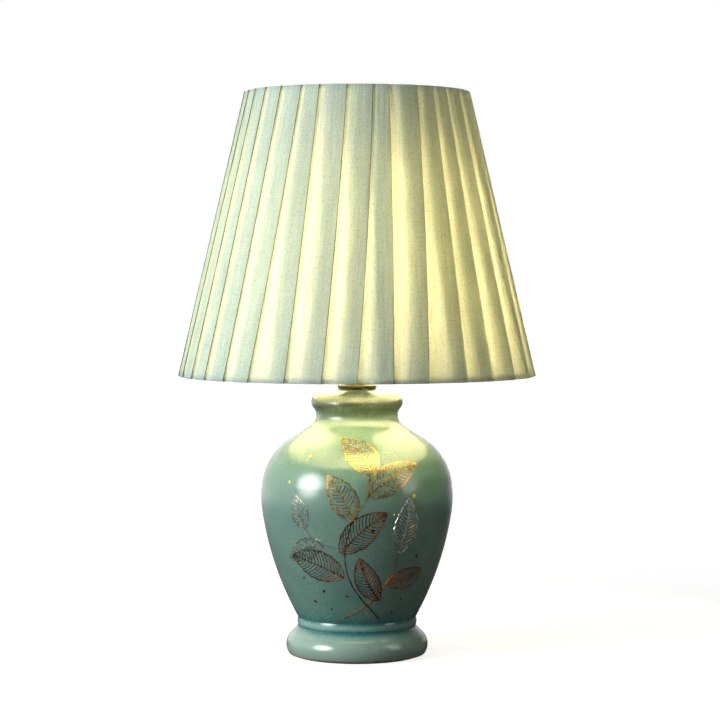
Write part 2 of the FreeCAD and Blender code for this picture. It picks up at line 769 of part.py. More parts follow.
def terminal_screws():
    """Two brass cheese-head screws, head up, in the wells of the contact block."""
    screws = []
    for side in (-1, 1):
        place = "Left" if side < 0 else "Right"
        shank = doc.addObject("Part::Cylinder", "TerminalShank" + place)
        bind(shank, "Radius", size("terminal_diameter") / 2)
        bind(shank, "Height", size("terminal_length"))
        head = doc.addObject("Part::Cylinder", "TerminalHead" + place)
        bind(head, "Radius", size("terminal_head") / 2)
        bind(head, "Height", size("terminal_head_height"))
        screw_z = block_top_z - size("terminal_head_height") - size("terminal_length")
        for piece, height in ((shank, screw_z), (head, screw_z + size("terminal_length"))):
            bind(piece, "Placement.Base.y", size("terminal_spacing") / 2 * side)
            bind(piece, "Placement.Base.z", height)
        screw = doc.addObject("Part::Fuse", "Terminal" + place)
        screw.Base = shank
        screw.Tool = head
        screws.append(screw)
    group = doc.addObject("Part::Compound", "terminal_screws")
    group.Label = "terminal_screws"
    group.Links = screws
    doc.recompute()
    return group


def bent_strip(label, height, corners, width):
    """A strip of sheet metal, drawn from the side and extruded both ways across its width."""
    body = new_body(label, height)
    sketch = new_sketch(body, "XZ_Plane")
    draw_outline(sketch, corners)
    extrude(body, sketch, width, symmetric=True)
    return body


def centre_contact():
    """A sprung tongue: flat foot on the block, rising to a level tip under the bulb."""
    metal = size("contact_thickness")
    rise = size("centre_contact_rise")
    reach = size("centre_contact_reach")
    heel = reach * 0.6
    toe = size("eyelet_diameter") / 4
    return bent_strip("centre_contact", block_top_z, [
        (reach, 0),
        (reach, metal),
        (heel, metal),
        (toe, rise),
        (-toe, rise),
        (-toe, rise - metal),
        (toe - metal / 2, rise - metal),
        (heel - metal / 2, 0),
    ], size("contact_width"))


def side_contact():
    """A strip from the block to the underside of the screw shell."""
    metal = size("contact_thickness")
    outside = size("bulb_cap_diameter") / 2 + size("bulb_clearance")
    return bent_strip("side_contact", block_top_z, [
        (-outside, 0),
        (-outside + size("contact_width"), 0),
        (-outside + size("contact_width"), metal),
        (-outside, metal),
    ], size("contact_width"))


def screw_shell():
    """The brass shell that takes the bulb's E27 cap; its thread is left plain."""
    inner = size("bulb_cap_diameter") / 2 + size("bulb_clearance")
    outer = inner + size("screw_shell_wall")
    seat = block_top_z + size("contact_thickness")
    floor = size("screw_shell_wall")
    window = size("centre_contact_reach") + size("seat_gap")
    return turned_body("screw_shell", seat, [
        (window, 0),
        (outer, 0),
        (outer, size("screw_shell_height")),
        (inner, size("screw_shell_height")),
        (inner, floor),
        (window, floor),
    ])


def shade_ring(label, height):
    """A grooved plastic ring on the lampholder's thread."""
    bore = size("holder_thread_diameter") + size("thread_clearance") * 2
    body = ring_body(label, height, size("ring_outside"), bore, size("ring_height"))
    sketch = new_sketch(body, "XY_Plane")
    groove = size("ring_grip_depth")
    draw_circle(sketch, size("ring_outside") / 2 + groove / 2, 0, groove * 1.5)
    pocket = cut_through(body, sketch, True)
    repeat_round(body, pocket, size("ring_grips"))
    return body


# Bulb --------------------------------------------------------------------------------------


def bulb_glass():
    """The envelope: a globe drawn in to a straight neck, an even wall thick."""
    globe = size("globe_diameter") / 2
    wall = size("glass_wall")
    middle = size("bulb_length") - globe
    neck_r = size("bulb_neck_diameter") / 2
    neck_z = size("bulb_neck_height")
    foot = size("glass_foot_height")
    meet, throat = neck_to_globe(neck_r, neck_z, globe, middle)
    inner_meet, inner_throat = neck_to_globe(neck_r - wall, neck_z, globe - wall, middle)
    return turned_body("bulb_glass", bulb_z, [
        (neck_r - wall, foot),
        (neck_r, foot),
        (neck_r, neck_z, throat, -1),
        (*meet, globe, 1),
        (globe, middle, globe, 1),
        (0, size("bulb_length")),
        (0, size("bulb_length") - wall, globe - wall, -1),
        (globe - wall, middle, globe - wall, -1),
        (*inner_meet, inner_throat, 1),
        (neck_r - wall, neck_z),
    ])


def neck_to_globe(neck_r, neck_z, globe, middle):
    """The hollow curve that leaves the neck upright and runs into the globe.
    Gives the point where it meets the globe and its radius."""
    outward = globe - neck_r
    rise = middle - neck_z
    reach = (outward * outward + rise * rise) / (outward * 2)
    share = globe / reach
    meet = (globe - outward * share, middle - rise * share)
    return meet, reach - globe


def bulb_cap():
    """The bulb's metal screw cap; its thread is left plain."""
    outer = size("bulb_cap_diameter") / 2
    wall = size("bulb_cap_wall")
    foot = size("bulb_cap_foot")
    top = size("bulb_cap_top")
    return turned_body("bulb_cap", bulb_z, [
        (outer - wall * 4, foot),
        (outer - wall * 2, foot),
        (outer, foot + wall * 2),
        (outer, top),
        (outer - wall, top),
        (outer - wall, foot + wall * 3),
        (outer - wall * 4, foot + wall * 3),
    ])


def bulb_insulator():
    """The glass cone between the cap's metal and the centre contact."""
    outer = size("bulb_cap_diameter") / 2 - size("bulb_cap_wall") * 4
    eyelet = size("eyelet_diameter") / 2
    foot = size("eyelet_height")
    top = size("bulb_cap_foot") + size("bulb_cap_wall") * 3
    return turned_body("bulb_insulator", bulb_z, [
        (0, foot),
        (eyelet + size("bulb_cap_wall"), foot),
        (outer, size("bulb_cap_foot")),
        (outer, top),
        (0, top),
    ])


def bulb_eyelet():
    eyelet = size("eyelet_diameter") / 2
    height = size("eyelet_height")
    return turned_body("bulb_eyelet", bulb_z, [
        (0, 0),
        (eyelet - height / 2, 0),
        (eyelet, height / 2),
        (eyelet, height),
        (0, height),
    ])


def filament_stem():
    """The glass stem, its flared foot in the neck, with the two discs that carry the sticks."""
    flare = size("bulb_neck_diameter") / 2 - size("glass_wall") - size("push_clearance")
    stem = size("stem_diameter") / 2
    post = size("stem_post_diameter") / 2
    disc = size("filament_circle") / 2 + size("filament_diameter")
    hub = size("hub_thickness")
    foot = size("glass_foot_height")
    flare_top = foot + size("stem_foot_height")
    low = size("filament_foot_height")
    high = low + size("filament_length")
    return turned_body("filament_stem", bulb_z, [
        (0, foot),
        (flare, foot),
        (flare, foot + hub),
        (stem, flare_top),
        (stem, low - hub * 2),
        (disc, low - hub),
        (disc, low),
        (post, low),
        (post, high),
        (disc, high),
        (disc, high + hub),
        (0, high + hub),
    ])


def filaments():
    """The sticks stand in a circle between the stem's discs, as a group of separate solids."""
    sticks = []
    count = int(size("filament_count").number)
    for k in range(count):
        stick = doc.addObject("Part::Cylinder", "Filament%d" % (k + 1))
        bind(stick, "Radius", size("filament_diameter") / 2)
        bind(stick, "Height", size("filament_length"))
        place = polar(0.5, 360.0 * (k + 0.5) / count, 0)
        bind(stick, "Placement.Base.x", size("filament_circle") * place.x)
        bind(stick, "Placement.Base.y", size("filament_circle") * place.y)
        bind(stick, "Placement.Base.z", bulb_z + size("filament_foot_height"))
        sticks.append(stick)
    group = doc.addObject("Part::Compound", "filaments")
    group.Label = "filaments"
    group.Links = sticks
    doc.recompute()
    return group


# Shade -------------------------------------------------------------------------------------

shade_slope = (size("shade_bottom_diameter") - size("shade_top_diameter")) / 2 / size("shade_height")
cover_depth = size("pleat_rise") + size("cloth_thickness")


def shade_radius(height, inset):
    """The shade's radius at a height above its lower rim, a distance in from the folds."""
    return size("shade_bottom_diameter") / 2 - shade_slope * height - inset


def pleated_cover():
    """The knife pleats: each panel runs from under its neighbour out to a fold that laps the next
    panel, straight from rim to rim and leaning a little. Ruled between two toothed outlines, with
    a flat-sided inside that touches the cone of the liner's outside."""
    count = int(size("pleat_count").number)
    pitch = 360.0 / count
    height = size("shade_height")

    def fold_line(radius, start, z):
        points = []
        for k in range(count):
            under = start + pitch * (k - 1)
            fold = start + pitch * k + size("pleat_lap").number
            points.append(polar(radius - size("pleat_rise").number, under, z))
            points.append(polar(radius, fold, z))
        return Part.makePolygon(points + points[:1])

    start = size("pleat_start").number
    low = fold_line(shade_radius(0, 0).number, start, 0)
    high_start = start + size("pleat_twist").number
    high = fold_line(shade_radius(height, 0).number, high_start, height.number)
    outside = Part.makeLoft([low, high], True, True)

    def inner_line(z):
        flats = int(size("cover_flats").number)
        radius = shade_radius(z, cover_depth).number / math.cos(math.pi / flats)
        points = [polar(radius, 360.0 * k / flats, z) for k in range(flats)]
        return Part.makePolygon(points + points[:1])

    inside = Part.makeLoft([inner_line(-1), inner_line(height.number + 1)], True, True)
    cover = doc.addObject("Part::Feature", "pleated_cover")
    cover.Label = "pleated_cover"
    cover.Shape = outside.cut(inside)
    cover.Placement = Placement(Vector(0, 0, shade_z.number), Rotation())
    return cover


def shade_liner():
    """The plastic film under the cloth."""
    outer = cover_depth + size("liner_gap")
    inner = outer + size("liner_thickness")
    height = size("shade_height")
    return turned_body("shade_liner", shade_z, [
        (shade_radius(0, inner), 0),
        (shade_radius(0, outer), 0),
        (shade_radius(height, outer), height),
        (shade_radius(height, inner), height),
    ])


tape_inside = size("rim_wire") / 2 + size("tape_gap")
tape_outside = tape_inside + size("tape_thickness")
# From the middle of one of the tape's flats to its corner, as seen from the ring's wire.
tape_half_flat = math.pi / 2 / size("tape_flats").number


def wire_centre(height):
    """The middle of a rim ring's wire, inside the liner and its tape."""
    layers = cover_depth + size("liner_gap") + size("liner_thickness")
    reach = tape_outside / math.cos(tape_half_flat) + size("tape_gap")
    return shade_radius(height, layers + reach * root(shade_slope * shade_slope + 1))


def rim_heights():
    return {
        "bottom": size("rim_wire_rise"),
        "top": size("shade_height") - size("rim_wire_rise"),
    }


def rim_ring(rim, height):
    ring = doc.addObject("Part::Torus", rim + "_rim_wire")
    ring.Label = rim + "_rim_wire"
    bind(ring, "Radius1", wire_centre(height))
    bind(ring, "Radius2", size("rim_wire") / 2)
    bind(ring, "Placement.Base.z", shade_z + height)
    doc.recompute()
    return ring


def rim_tape(rim, height):
    """Cloth tape folded over the outer half of a rim ring, in flats."""
    centre = wire_centre(height)
    leg = centre - size("tape_leg")
    count = int(size("tape_flats").number)
    turns = [(2 * k + 1 - count) * tape_half_flat for k in range(count)]

    def corners(reach):
        corner = reach / math.cos(tape_half_flat)
        return [(centre + corner * math.cos(t), corner * math.sin(t)) for t in turns]

    return turned_body(rim + "_rim_tape", shade_z + height, [
        (leg, -tape_outside),
        *corners(tape_outside),
        (leg, tape_outside),
        (leg, tape_inside),
        *reversed(corners(tape_inside)),
        (leg, -tape_inside),
    ])


def shade_fitter():
    """The flat ring that the shade rings clamp, and its wire arms down to the lower rim ring."""
    body = ring_body(
        "shade_fitter", fitter_z, size("fitter_outside"), size("fitter_bore"), size("fitter_thickness")
    )
    level = size("fitter_thickness") / 2
    start = size("fitter_outside") / 2 - size("arm_weld")
    knee = size("fitter_outside") / 2 + size("arm_level")
    wire_r = wire_centre(size("rim_wire_rise"))
    wire_z = size("rim_wire_rise") - size("fitter_recess")
    # The arm's far end stops at the ring's inner side, along the line from the knee.
    run = wire_r - knee
    drop = level - wire_z
    slant = root(run * run + drop * drop)
    stop = (size("rim_wire") / 2 + size("weld_gap") + size("arm_wire") / 8) / slant
    far = (wire_r - run * stop, wire_z + drop * stop)
    # A bend of the given radius is cut into the knee.
    along = run / slant
    down = drop / slant
    setback = size("arm_bend") * (1 - along) / down
    path = new_sketch(body, "XZ_Plane")
    draw_outline(path, [
        (start, level),
        (knee - setback, level, size("arm_bend"), -1),
        (knee + setback * along, level - setback * down),
        far,
    ], closed=False)
    section = new_sketch(body, "YZ_Plane", start)
    draw_circle(section, 0, level, size("arm_wire") / 2)
    arm = body.newObject("PartDesign::AdditivePipe", "Arm")
    arm.Profile = section
    arm.Spine = (path, [])
    doc.recompute()
    repeat_round(body, arm, size("arm_count"))
    body.Placement.Rotation = Rotation(Vector(0, 0, 1), size("arm_turn").number)
    return body


keep(felt_pad())
keep(ceramic_jar())
keep(cord_bush())
keep(threaded_tube())
for washer in plain_washers():
    keep(washer)
keep(tube_nut("floor_nut", floor_nut_z))
keep(tube_nut("neck_nut", neck_nut_z))
keep(vase_cap())
keep(holder_cap())
keep(grub_screw())
keep(contact_block())
keep(terminal_screws())
keep(centre_contact())
keep(side_contact())
keep(screw_shell())
keep(holder_shell())
keep(shade_ring("lower_shade_ring", lower_ring_z))
keep(shade_ring("upper_shade_ring", upper_ring_z))
keep(bulb_eyelet())
keep(bulb_insulator())
keep(bulb_cap())
keep(filament_stem())
keep(filaments())
keep(bulb_glass())
keep(shade_fitter())
keep(shade_liner())
keep(pleated_cover())
for rim, rim_height in rim_heights().items():
    keep(rim_ring(rim, rim_height))
    keep(rim_tape(rim, rim_height))

doc.recompute()

for thing in doc.Objects:
    assert "Invalid" not in thing.State and "Error" not in thing.State, thing.Label
for piece in pieces:
    assert not piece.Shape.isNull() and piece.Shape.isValid(), piece.Label

os.makedirs("parts", exist_ok=True)
for piece in pieces:
    piece.Shape.exportStep("parts/%s.step" % piece.Label)
print(len(pieces), "pieces written")
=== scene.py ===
"""Looks of the ginger jar lamp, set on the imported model. Metres, +Z up, -Y to the front."""

import json
import math

import bpy
import numpy as np
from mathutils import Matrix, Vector
from mathutils.bvhtree import BVHTree


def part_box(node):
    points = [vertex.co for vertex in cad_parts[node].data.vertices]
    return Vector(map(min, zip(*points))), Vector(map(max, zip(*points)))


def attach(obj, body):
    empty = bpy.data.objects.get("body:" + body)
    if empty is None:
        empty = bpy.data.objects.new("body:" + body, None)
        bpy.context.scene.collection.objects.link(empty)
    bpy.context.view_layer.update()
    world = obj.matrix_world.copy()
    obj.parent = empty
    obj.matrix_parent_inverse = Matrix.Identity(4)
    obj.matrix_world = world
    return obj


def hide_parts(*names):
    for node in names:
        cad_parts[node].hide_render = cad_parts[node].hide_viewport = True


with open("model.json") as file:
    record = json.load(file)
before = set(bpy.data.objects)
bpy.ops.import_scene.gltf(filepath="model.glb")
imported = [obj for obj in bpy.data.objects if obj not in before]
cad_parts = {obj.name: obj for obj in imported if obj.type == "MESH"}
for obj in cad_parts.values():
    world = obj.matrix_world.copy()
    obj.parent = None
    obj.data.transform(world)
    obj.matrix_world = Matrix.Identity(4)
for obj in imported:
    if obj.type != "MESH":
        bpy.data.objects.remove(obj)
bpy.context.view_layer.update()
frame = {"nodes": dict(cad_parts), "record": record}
nodes = frame["nodes"]
MM = 0.001


def tint(red, green, blue):
    """A colour written as it looks on a screen, from 0 to 255."""

    def linear(value):
        value /= 255
        return value / 12.92 if value <= 0.04045 else ((value + 0.055) / 1.055) ** 2.4

    return (linear(red), linear(green), linear(blue), 1.0)


class Graph:
    """The node tree of a material, a world or a light, written as nested calls."""

    def __init__(self, owner):
        self.owner = owner
        owner.use_nodes = True
        self.tree = owner.node_tree
        self.tree.nodes.clear()

    def __call__(self, kind, sockets=None, out=0, **settings):
        node = self.tree.nodes.new("ShaderNode" + kind)
        for name, value in settings.items():
            setattr(node, name, value)
        for name, value in (sockets or {}).items():
            socket = node.inputs[name]
            if isinstance(value, bpy.types.NodeSocket):
                self.tree.links.new(value, socket)
            else:
                socket.default_value = value
        return node.outputs[out]

    def maths(self, operation, first, second=0.0, third=0.0):
        return self("Math", {0: first, 1: second, 2: third}, operation=operation)

    def mix(self, share, first, second, blend="MIX"):
        sockets = {0: share, 6: first, 7: second}
        return self("Mix", sockets, 2, data_type="RGBA", blend_type=blend)

    def ramp(self, value, *stops):
        """Colours or greys along a value, as (place, colour) stops."""
        ramp = self.tree.nodes.new("ShaderNodeValToRGB")
        for index, (place, colour) in enumerate(stops):
            elements = ramp.color_ramp.elements
            element = elements[index] if index < 2 else elements.new(place)
            element.position = place
            element.color = colour if isinstance(colour, tuple) else (colour,) * 3 + (1.0,)
        self.tree.links.new(value, ramp.inputs[0])
        return ramp.outputs[0]

    def place(self, kind="Object", scale=(1, 1, 1)):
        """Where the surface is, in its own metres, stretched."""
        source = self("TexCoord", out={"Object": 3, "UV": 2}[kind])
        return self("Mapping", {"Vector": source, "Scale": scale})

    def noise(self, place, scale, detail=3.0, roughness=0.5):
        sockets = {"Vector": place, "Scale": scale, "Detail": detail, "Roughness": roughness}
        return self("TexNoise", sockets)

    def spread(self, value, low, high, to_low=0.0, to_high=1.0):
        """A smooth step from one level to another as the value goes from low to high."""
        sockets = {0: value, 1: low, 2: high, 3: to_low, 4: to_high}
        return self("MapRange", sockets, interpolation_type="SMOOTHSTEP")

    def bump(self, height, strength, distance):
        return self("Bump", {"Height": height, "Strength": strength, "Distance": distance})

    def attribute(self, name):
        """A number that the mesh holds at each point."""
        return self("Attribute", {}, 2, attribute_name=name)

    def finish(self, surface):
        kinds = {bpy.types.World: "OutputWorld", bpy.types.Light: "OutputLight"}
        found = [kind for owner, kind in kinds.items() if isinstance(self.owner, owner)]
        output = self.tree.nodes.new("ShaderNode" + (found[0] if found else "OutputMaterial"))
        self.tree.links.new(surface, output.inputs[0])
        return self.owner


def new_graph(name):
    return Graph(bpy.data.materials.new(name))


# Materials ---------------------------------------------------------------------------------

GLAZE_SPAN = 0.21
CRACKLE_SCALES = (330.0, 700.0)  # cells in a metre, wide and fine
CLAY_TOP = 0.0030  # the bare clay reaches this high on the foot
WEAVE_PITCH = 0.00085
FILAMENT_STRENGTH = 160.0
# Height in metres and the glaze's colour there, from the foot up to the lip; painted shade from the
# shoulder up.
GLAZE_AND_SHADE_COLOURS = [
    (0.0, (138, 160, 146)),
    (0.0180, (134, 162, 152)),
    (0.0205, (100, 146, 140)),
    (0.0222, (26, 102, 104)),
    (0.0240, (28, 104, 106)),
    (0.0256, (112, 156, 150)),
    (0.0278, (122, 162, 154)),
    (0.0290, (40, 108, 108)),
    (0.0318, (26, 100, 102)),
    (0.0350, (58, 116, 110)),
    (0.0420, (80, 122, 114)),
    (0.070, (90, 124, 116)),
    (0.125, (98, 132, 122)),
    (0.145, (94, 128, 114)),
    # From here up the colours are painted shade, darker and more olive, to dim the bulb's light on
    # the shoulder, neck and lip.
    (0.160, (82, 112, 94)),
    (0.172, (96, 122, 102)),
    (0.186, (106, 128, 106)),
    (0.192, (86, 100, 72)),
    (0.198, (64, 70, 44)),
    (0.21, (62, 70, 44)),
]


def glaze_material():
    """Celadon glaze over stoneware: pooled in the creases, painted darker and more olive from the
    shoulder up to the lip as shade, finely crackled, and bare clay on the foot's lower edge."""
    g = new_graph("celadon_glaze")
    place = g.place()
    height = g("SeparateXYZ", {0: place}, 2)
    cloud = g.noise(place, 26.0, 4.0, 0.6)
    streaks = g.noise(g.place("Object", (300, 300, 22)), 1.0, 3.0)
    runs = g.maths("MULTIPLY_ADD", streaks, 0.0016, g.maths("MULTIPLY", cloud, 0.0014))
    waved = g.maths("ADD", height, g.maths("SUBTRACT", runs, 0.0015))
    rise = g.maths("DIVIDE", waved, GLAZE_SPAN)
    body = g.ramp(rise, *[(z / GLAZE_SPAN, tint(*colour)) for z, colour in GLAZE_AND_SHADE_COLOURS])
    drift = g.noise(place, 70.0, 5.0, 0.65)
    body = g.mix(g.spread(drift, 0.3, 0.7, 0.0, 0.18), body, tint(70, 112, 104))
    specks = g.noise(place, 1500.0, 2.0, 0.5)
    body = g.mix(g.spread(specks, 0.6, 0.8, 0.0, 0.16), body, tint(176, 190, 166))
    bent = g.mix(0.006, place, g("TexNoise", {"Vector": place, "Scale": 150.0}, 1), "ADD")
    edges = [
        g("TexVoronoi", {"Vector": bent, "Scale": scale}, feature="DISTANCE_TO_EDGE")
        for scale in CRACKLE_SCALES
    ]
    wide = g.spread(edges[0], 0.015, 0.07, 1.0, 0.0)
    fine = g.spread(edges[1], 0.02, 0.08, 0.55, 0.0)
    crackle = g.maths("MAXIMUM", wide, fine)
    patchy = g.spread(g.noise(place, 40.0, 2.0), 0.35, 0.65, 0.05, 0.24)
    body = g.mix(g.maths("MULTIPLY", crackle, patchy), body, tint(168, 186, 160))
    clay = g.spread(waved, CLAY_TOP - 0.0006, CLAY_TOP, 1.0, 0.0)
    clay_colour = g.mix(g.noise(place, 700.0), tint(176, 152, 126), tint(84, 64, 50))
    colour = g.mix(clay, body, clay_colour)
    ripple = g.bump(g.noise(place, 55.0, 2.0), 0.06, 0.001)
    shader = g(
        "BsdfPrincipled",
        {
            "Base Color": colour,
            "Roughness": g.maths("MULTIPLY_ADD", clay, 0.4, 0.45),
            "IOR": 1.3,
            "Coat Weight": g.maths("SUBTRACT", 1.0, clay),
            "Coat Roughness": 0.025,
            "Coat IOR": 1.6,
            "Normal": ripple,
            "Coat Normal": ripple,
        },
    )
    return g.finish(shader)


def foil_material(name, bright, dark, roughness):
    """Printed metal foil, a little worn and uneven."""
    g = new_graph(name)
    place = g.place()
    wear = g.noise(place, 260.0, 5.0, 0.7)
    shade = g.noise(place, 30.0, 2.0)
    colour = g.mix(g.spread(shade, 0.3, 0.7), bright, dark)
    colour = g.mix(g.spread(wear, 0.55, 0.72, 0.0, 0.5), colour, dark)
    shader = g(
        "BsdfPrincipled",
        {
            "Base Color": colour,
            "Metallic": 1.0,
            "Roughness": g.spread(wear, 0.3, 0.7, roughness - 0.06, roughness + 0.1),
            "Normal": g.bump(wear, 0.25, 0.0002),
        },
    )
    return g.finish(shader)


def cloth_material(name, colour, glow, through, edges=False):
    """Fine plain weave with slubs, lit from behind. UVs are metres along and up the cloth.
    With edges, the mesh says where a layer ends softly and where each fold gets a thin dark line of
    painted shade."""
    g = new_graph(name)
    uv = g.place("UV")
    across, up = (g("SeparateXYZ", {0: uv}, k) for k in (0, 1))
    turns = 2 * math.pi / WEAVE_PITCH
    warp, weft = (g.maths("SINE", g.maths("MULTIPLY", way, turns)) for way in (across, up))
    grid = g.maths("MULTIPLY", warp, weft)
    streaks = g.noise(g.place("UV", (900, 30, 1)), 1.0, 5.0, 0.65)
    bands = g.noise(g.place("UV", (140, 5, 1)), 1.0, 2.0, 0.5)
    slubs = g.noise(g.place("UV", (70, 1300, 1)), 1.0, 3.0, 0.55)
    threads = g.maths("MULTIPLY_ADD", grid, 0.10, g.maths("MULTIPLY_ADD", slubs, 0.3, 0.35))
    uneven = g.maths("MULTIPLY_ADD", streaks, 0.6, g.maths("MULTIPLY", threads, 0.4))
    shade = g.spread(uneven, 0.35, 0.65)
    seen = g.mix(shade, tuple(c * 0.82 for c in colour[:3]) + (1.0,), colour)
    thick = g.maths("MULTIPLY_ADD", streaks, 0.5, g.maths("MULTIPLY", slubs, 0.25))
    thick = g.maths("MULTIPLY_ADD", bands, 0.35, thick)
    dim = tuple(c * f for c, f in zip(glow[:3], (0.74, 0.71, 0.62))) + (1.0,)
    lit = g.mix(g.spread(thick, 0.42, 0.70), dim, glow)
    x, y, z = (g("SeparateXYZ", {0: g.place()}, k) for k in (0, 1, 2))
    turn = g.maths("MULTIPLY", g.maths("ARCTAN2", x, g.maths("MULTIPLY", y, -1.0)), 0.12)
    # The open pores of all the layers lie in line, so that light gets through them.
    pores = g.noise(g("CombineXYZ", {0: turn, 1: z}), 620.0, 1.0, 0.4)
    gaps = g.spread(pores, 0.56, 0.64, 0.01, 0.16)
    if edges:
        # Painted shade: a thin dark line along each fold, in the cloth's face and in the light
        # through it.
        crease = g.attribute("crease")
        seen = g.mix(crease, seen, tint(92, 92, 66))
        lit = g.mix(crease, lit, tint(60, 56, 30))
        gaps = g.maths("MAXIMUM", gaps, g.attribute("soft_end"))
    bump = g.bump(g.maths("ADD", threads, g.maths("MULTIPLY", streaks, 0.6)), 0.35, 0.0003)
    face = g(
        "BsdfPrincipled",
        {
            "Base Color": seen,
            "Roughness": 0.85,
            "Specular IOR Level": 0.2,
            "Sheen Weight": 0.1,
            "Normal": bump,
        },
    )
    back = g("BsdfTranslucent", {"Color": lit, "Normal": bump})
    woven = g("MixShader", {0: through, 1: face, 2: back})
    return g.finish(g("MixShader", {0: gaps, 1: woven, 2: g("BsdfTransparent")}))


def film_material(name, clear_low, clear_high, edges=False):
    """The shade's milky plastic film; with edges, the mesh says where it ends softly."""
    g = new_graph(name)
    cloud = g.noise(g.place(), 90.0, 3.0)
    colour = g.mix(cloud, tint(236, 238, 228), tint(248, 248, 240))
    face = g("BsdfPrincipled", {"Base Color": colour, "Roughness": 0.4})
    back = g("BsdfTranslucent", {"Color": colour})
    film = g("MixShader", {0: 0.36, 1: face, 2: back})
    clear = g.spread(cloud, 0.3, 0.7, clear_low, clear_high)
    if edges:
        clear = g.maths("MAXIMUM", clear, g.attribute("soft_end"))
    return g.finish(g("MixShader", {0: clear, 1: film, 2: g("BsdfTransparent")}))


def glass_material():
    """Thin blown glass: clear, with its reflections."""
    g = new_graph("clear_glass")
    ripple = g.bump(g.noise(g.place(), 120.0, 2.0), 0.04, 0.0005)
    gloss = g("BsdfGlossy", {"Color": tint(255, 255, 252), "Roughness": 0.03, "Normal": ripple})
    faint = g.mix(g.noise(g.place(), 60.0), tint(250, 252, 250), tint(240, 246, 242))
    share = g("Fresnel", {"IOR": 1.45, "Normal": ripple})
    return g.finish(g("MixShader", {0: share, 1: g("BsdfTransparent", {0: faint}), 2: gloss}))


def filament_material():
    """The glowing sticks in the bulb."""
    g = new_graph("filament")
    cloud = g.noise(g.place(), 700.0, 3.0)
    colour = g.mix(cloud, tint(255, 206, 120), tint(255, 232, 176))
    return g.finish(g("Emission", {"Color": colour, "Strength": FILAMENT_STRENGTH}))


def solid_material(name, light, dark, metallic=0.0, roughness=0.5, grain=200.0, depth=0.15):
    """Moulded, turned or coated stuff: two close colours, a grain and its fine relief."""
    g = new_graph(name)
    place = g.place()
    coarse = g.noise(place, grain * 0.25, 3.0)
    fine = g.noise(place, grain * 4, 4.0, 0.6)
    sockets = {
        "Base Color": g.mix(g.spread(coarse, 0.3, 0.7), light, dark),
        "Metallic": metallic,
        "Roughness": g.spread(fine, 0.3, 0.7, roughness * 0.85, min(roughness * 1.15, 1.0)),
        "Normal": g.bump(fine, depth, 0.0002),
    }
    return g.finish(g("BsdfPrincipled", sockets))


MINT = tint(214, 241, 243)
GLOW = tint(255, 251, 232)
CLOTH = cloth_material("mint_cloth", MINT, GLOW, 0.54, edges=True)
TAPE = cloth_material("mint_tape", tint(120, 146, 142), tint(120, 130, 100), 0.05)
FILM = film_material("liner_film", 0.08, 0.13)
SEAM = film_material("seam_film", 0.1, 0.2, edges=True)
GOLD = foil_material("foil_gold", tint(250, 206, 110), tint(204, 142, 56), 0.24)
BRONZE = foil_material("foil_bronze", tint(178, 94, 44), tint(96, 42, 18), 0.26)
SILVER = foil_material("foil_silver", tint(228, 228, 226), tint(160, 152, 148), 0.24)
FINISHES = {
    "felt": solid_material("felt", tint(52, 50, 46), tint(36, 34, 32), 0.0, 0.95, 900.0, 0.8),
    "celadon_glaze": glaze_material(),
    "black_plastic": solid_material(
        "black_plastic", tint(34, 34, 34), tint(24, 24, 25), 0.0, 0.32, 300.0, 0.08
    ),
    "zinc_steel": solid_material(
        "zinc_steel", tint(196, 198, 196), tint(164, 168, 168), 1.0, 0.34, 250.0, 0.1
    ),
    "rubber": solid_material("rubber", tint(40, 40, 39), tint(28, 28, 28), 0.0, 0.8, 400.0, 0.2),
    "brass": solid_material("brass", tint(222, 188, 112), tint(196, 158, 86), 1.0, 0.3, 250.0, 0.1),
    "dark_bronze": solid_material(
        "dark_bronze", tint(58, 56, 36), tint(38, 36, 24), 0.4, 0.42, 250.0, 0.1
    ),
    "porcelain": solid_material(
        "porcelain", tint(238, 234, 224), tint(226, 220, 208), 0.0, 0.5, 300.0, 0.1
    ),
    "solder": solid_material("solder", tint(178, 178, 176), tint(150, 150, 150), 1.0, 0.45),
    "black_glass": solid_material("black_glass", tint(22, 22, 26), tint(14, 14, 17), 0.0, 0.12),
    "nickel": solid_material("nickel", tint(206, 204, 198), tint(184, 180, 172), 1.0, 0.25),
    "clear_glass": glass_material(),
    "filament": filament_material(),
    "white_wire": solid_material(
        "white_wire", tint(232, 232, 226), tint(218, 218, 212), 0.0, 0.42, 300.0, 0.1
    ),
    "liner_film": FILM,
    "mint_cloth": CLOTH,
    "mint_tape": TAPE,
}
for part in frame["record"]["subparts"]:
    piece = nodes[part["node"]]
    piece.data.materials.clear()
    piece.data.materials.append(FINISHES[part["material_slot"]])


# Meshes ------------------------------------------------------------------------------------


def new_piece(name, points, faces, material, uvs=None):
    """A smooth mesh object; uvs has one pair for each corner of each face."""
    mesh = bpy.data.meshes.new(name)
    mesh.from_pydata([tuple(p) for p in points], [], faces)
    if uvs is not None:
        layer = mesh.uv_layers.new(name="UVMap")
        layer.data.foreach_set("uv", np.asarray(uvs, np.float32).ravel())
    mesh.materials.append(material)
    mesh.shade_smooth()
    mesh.update()
    piece = bpy.data.objects.new(name, mesh)
    bpy.context.scene.collection.objects.link(piece)
    return piece


def set_values(piece, name, values):
    """A number for every point of the mesh, for its material to read."""
    layer = piece.data.attributes.new(name, "FLOAT", "POINT")
    layer.data.foreach_set("value", np.asarray(values, np.float32).ravel())


def grid_faces(rows, columns, around=False):
    """Quads between rows of points, which go round and close if asked to."""
    last = columns if around else columns - 1
    return [
        (r * columns + c, r * columns + (c + 1) % columns,
         (r + 1) * columns + (c + 1) % columns, (r + 1) * columns + c)
        for r in range(rows - 1)
        for c in range(last)
    ]


def blend_over(value, low, high):
    """0 below low, 1 above high and a smooth rise between."""
    t = np.clip((value - low) / (high - low), 0.0, 1.0)
    return t * t * (3 - 2 * t)


# Pleated cover -----------------------------------------------------------------------------

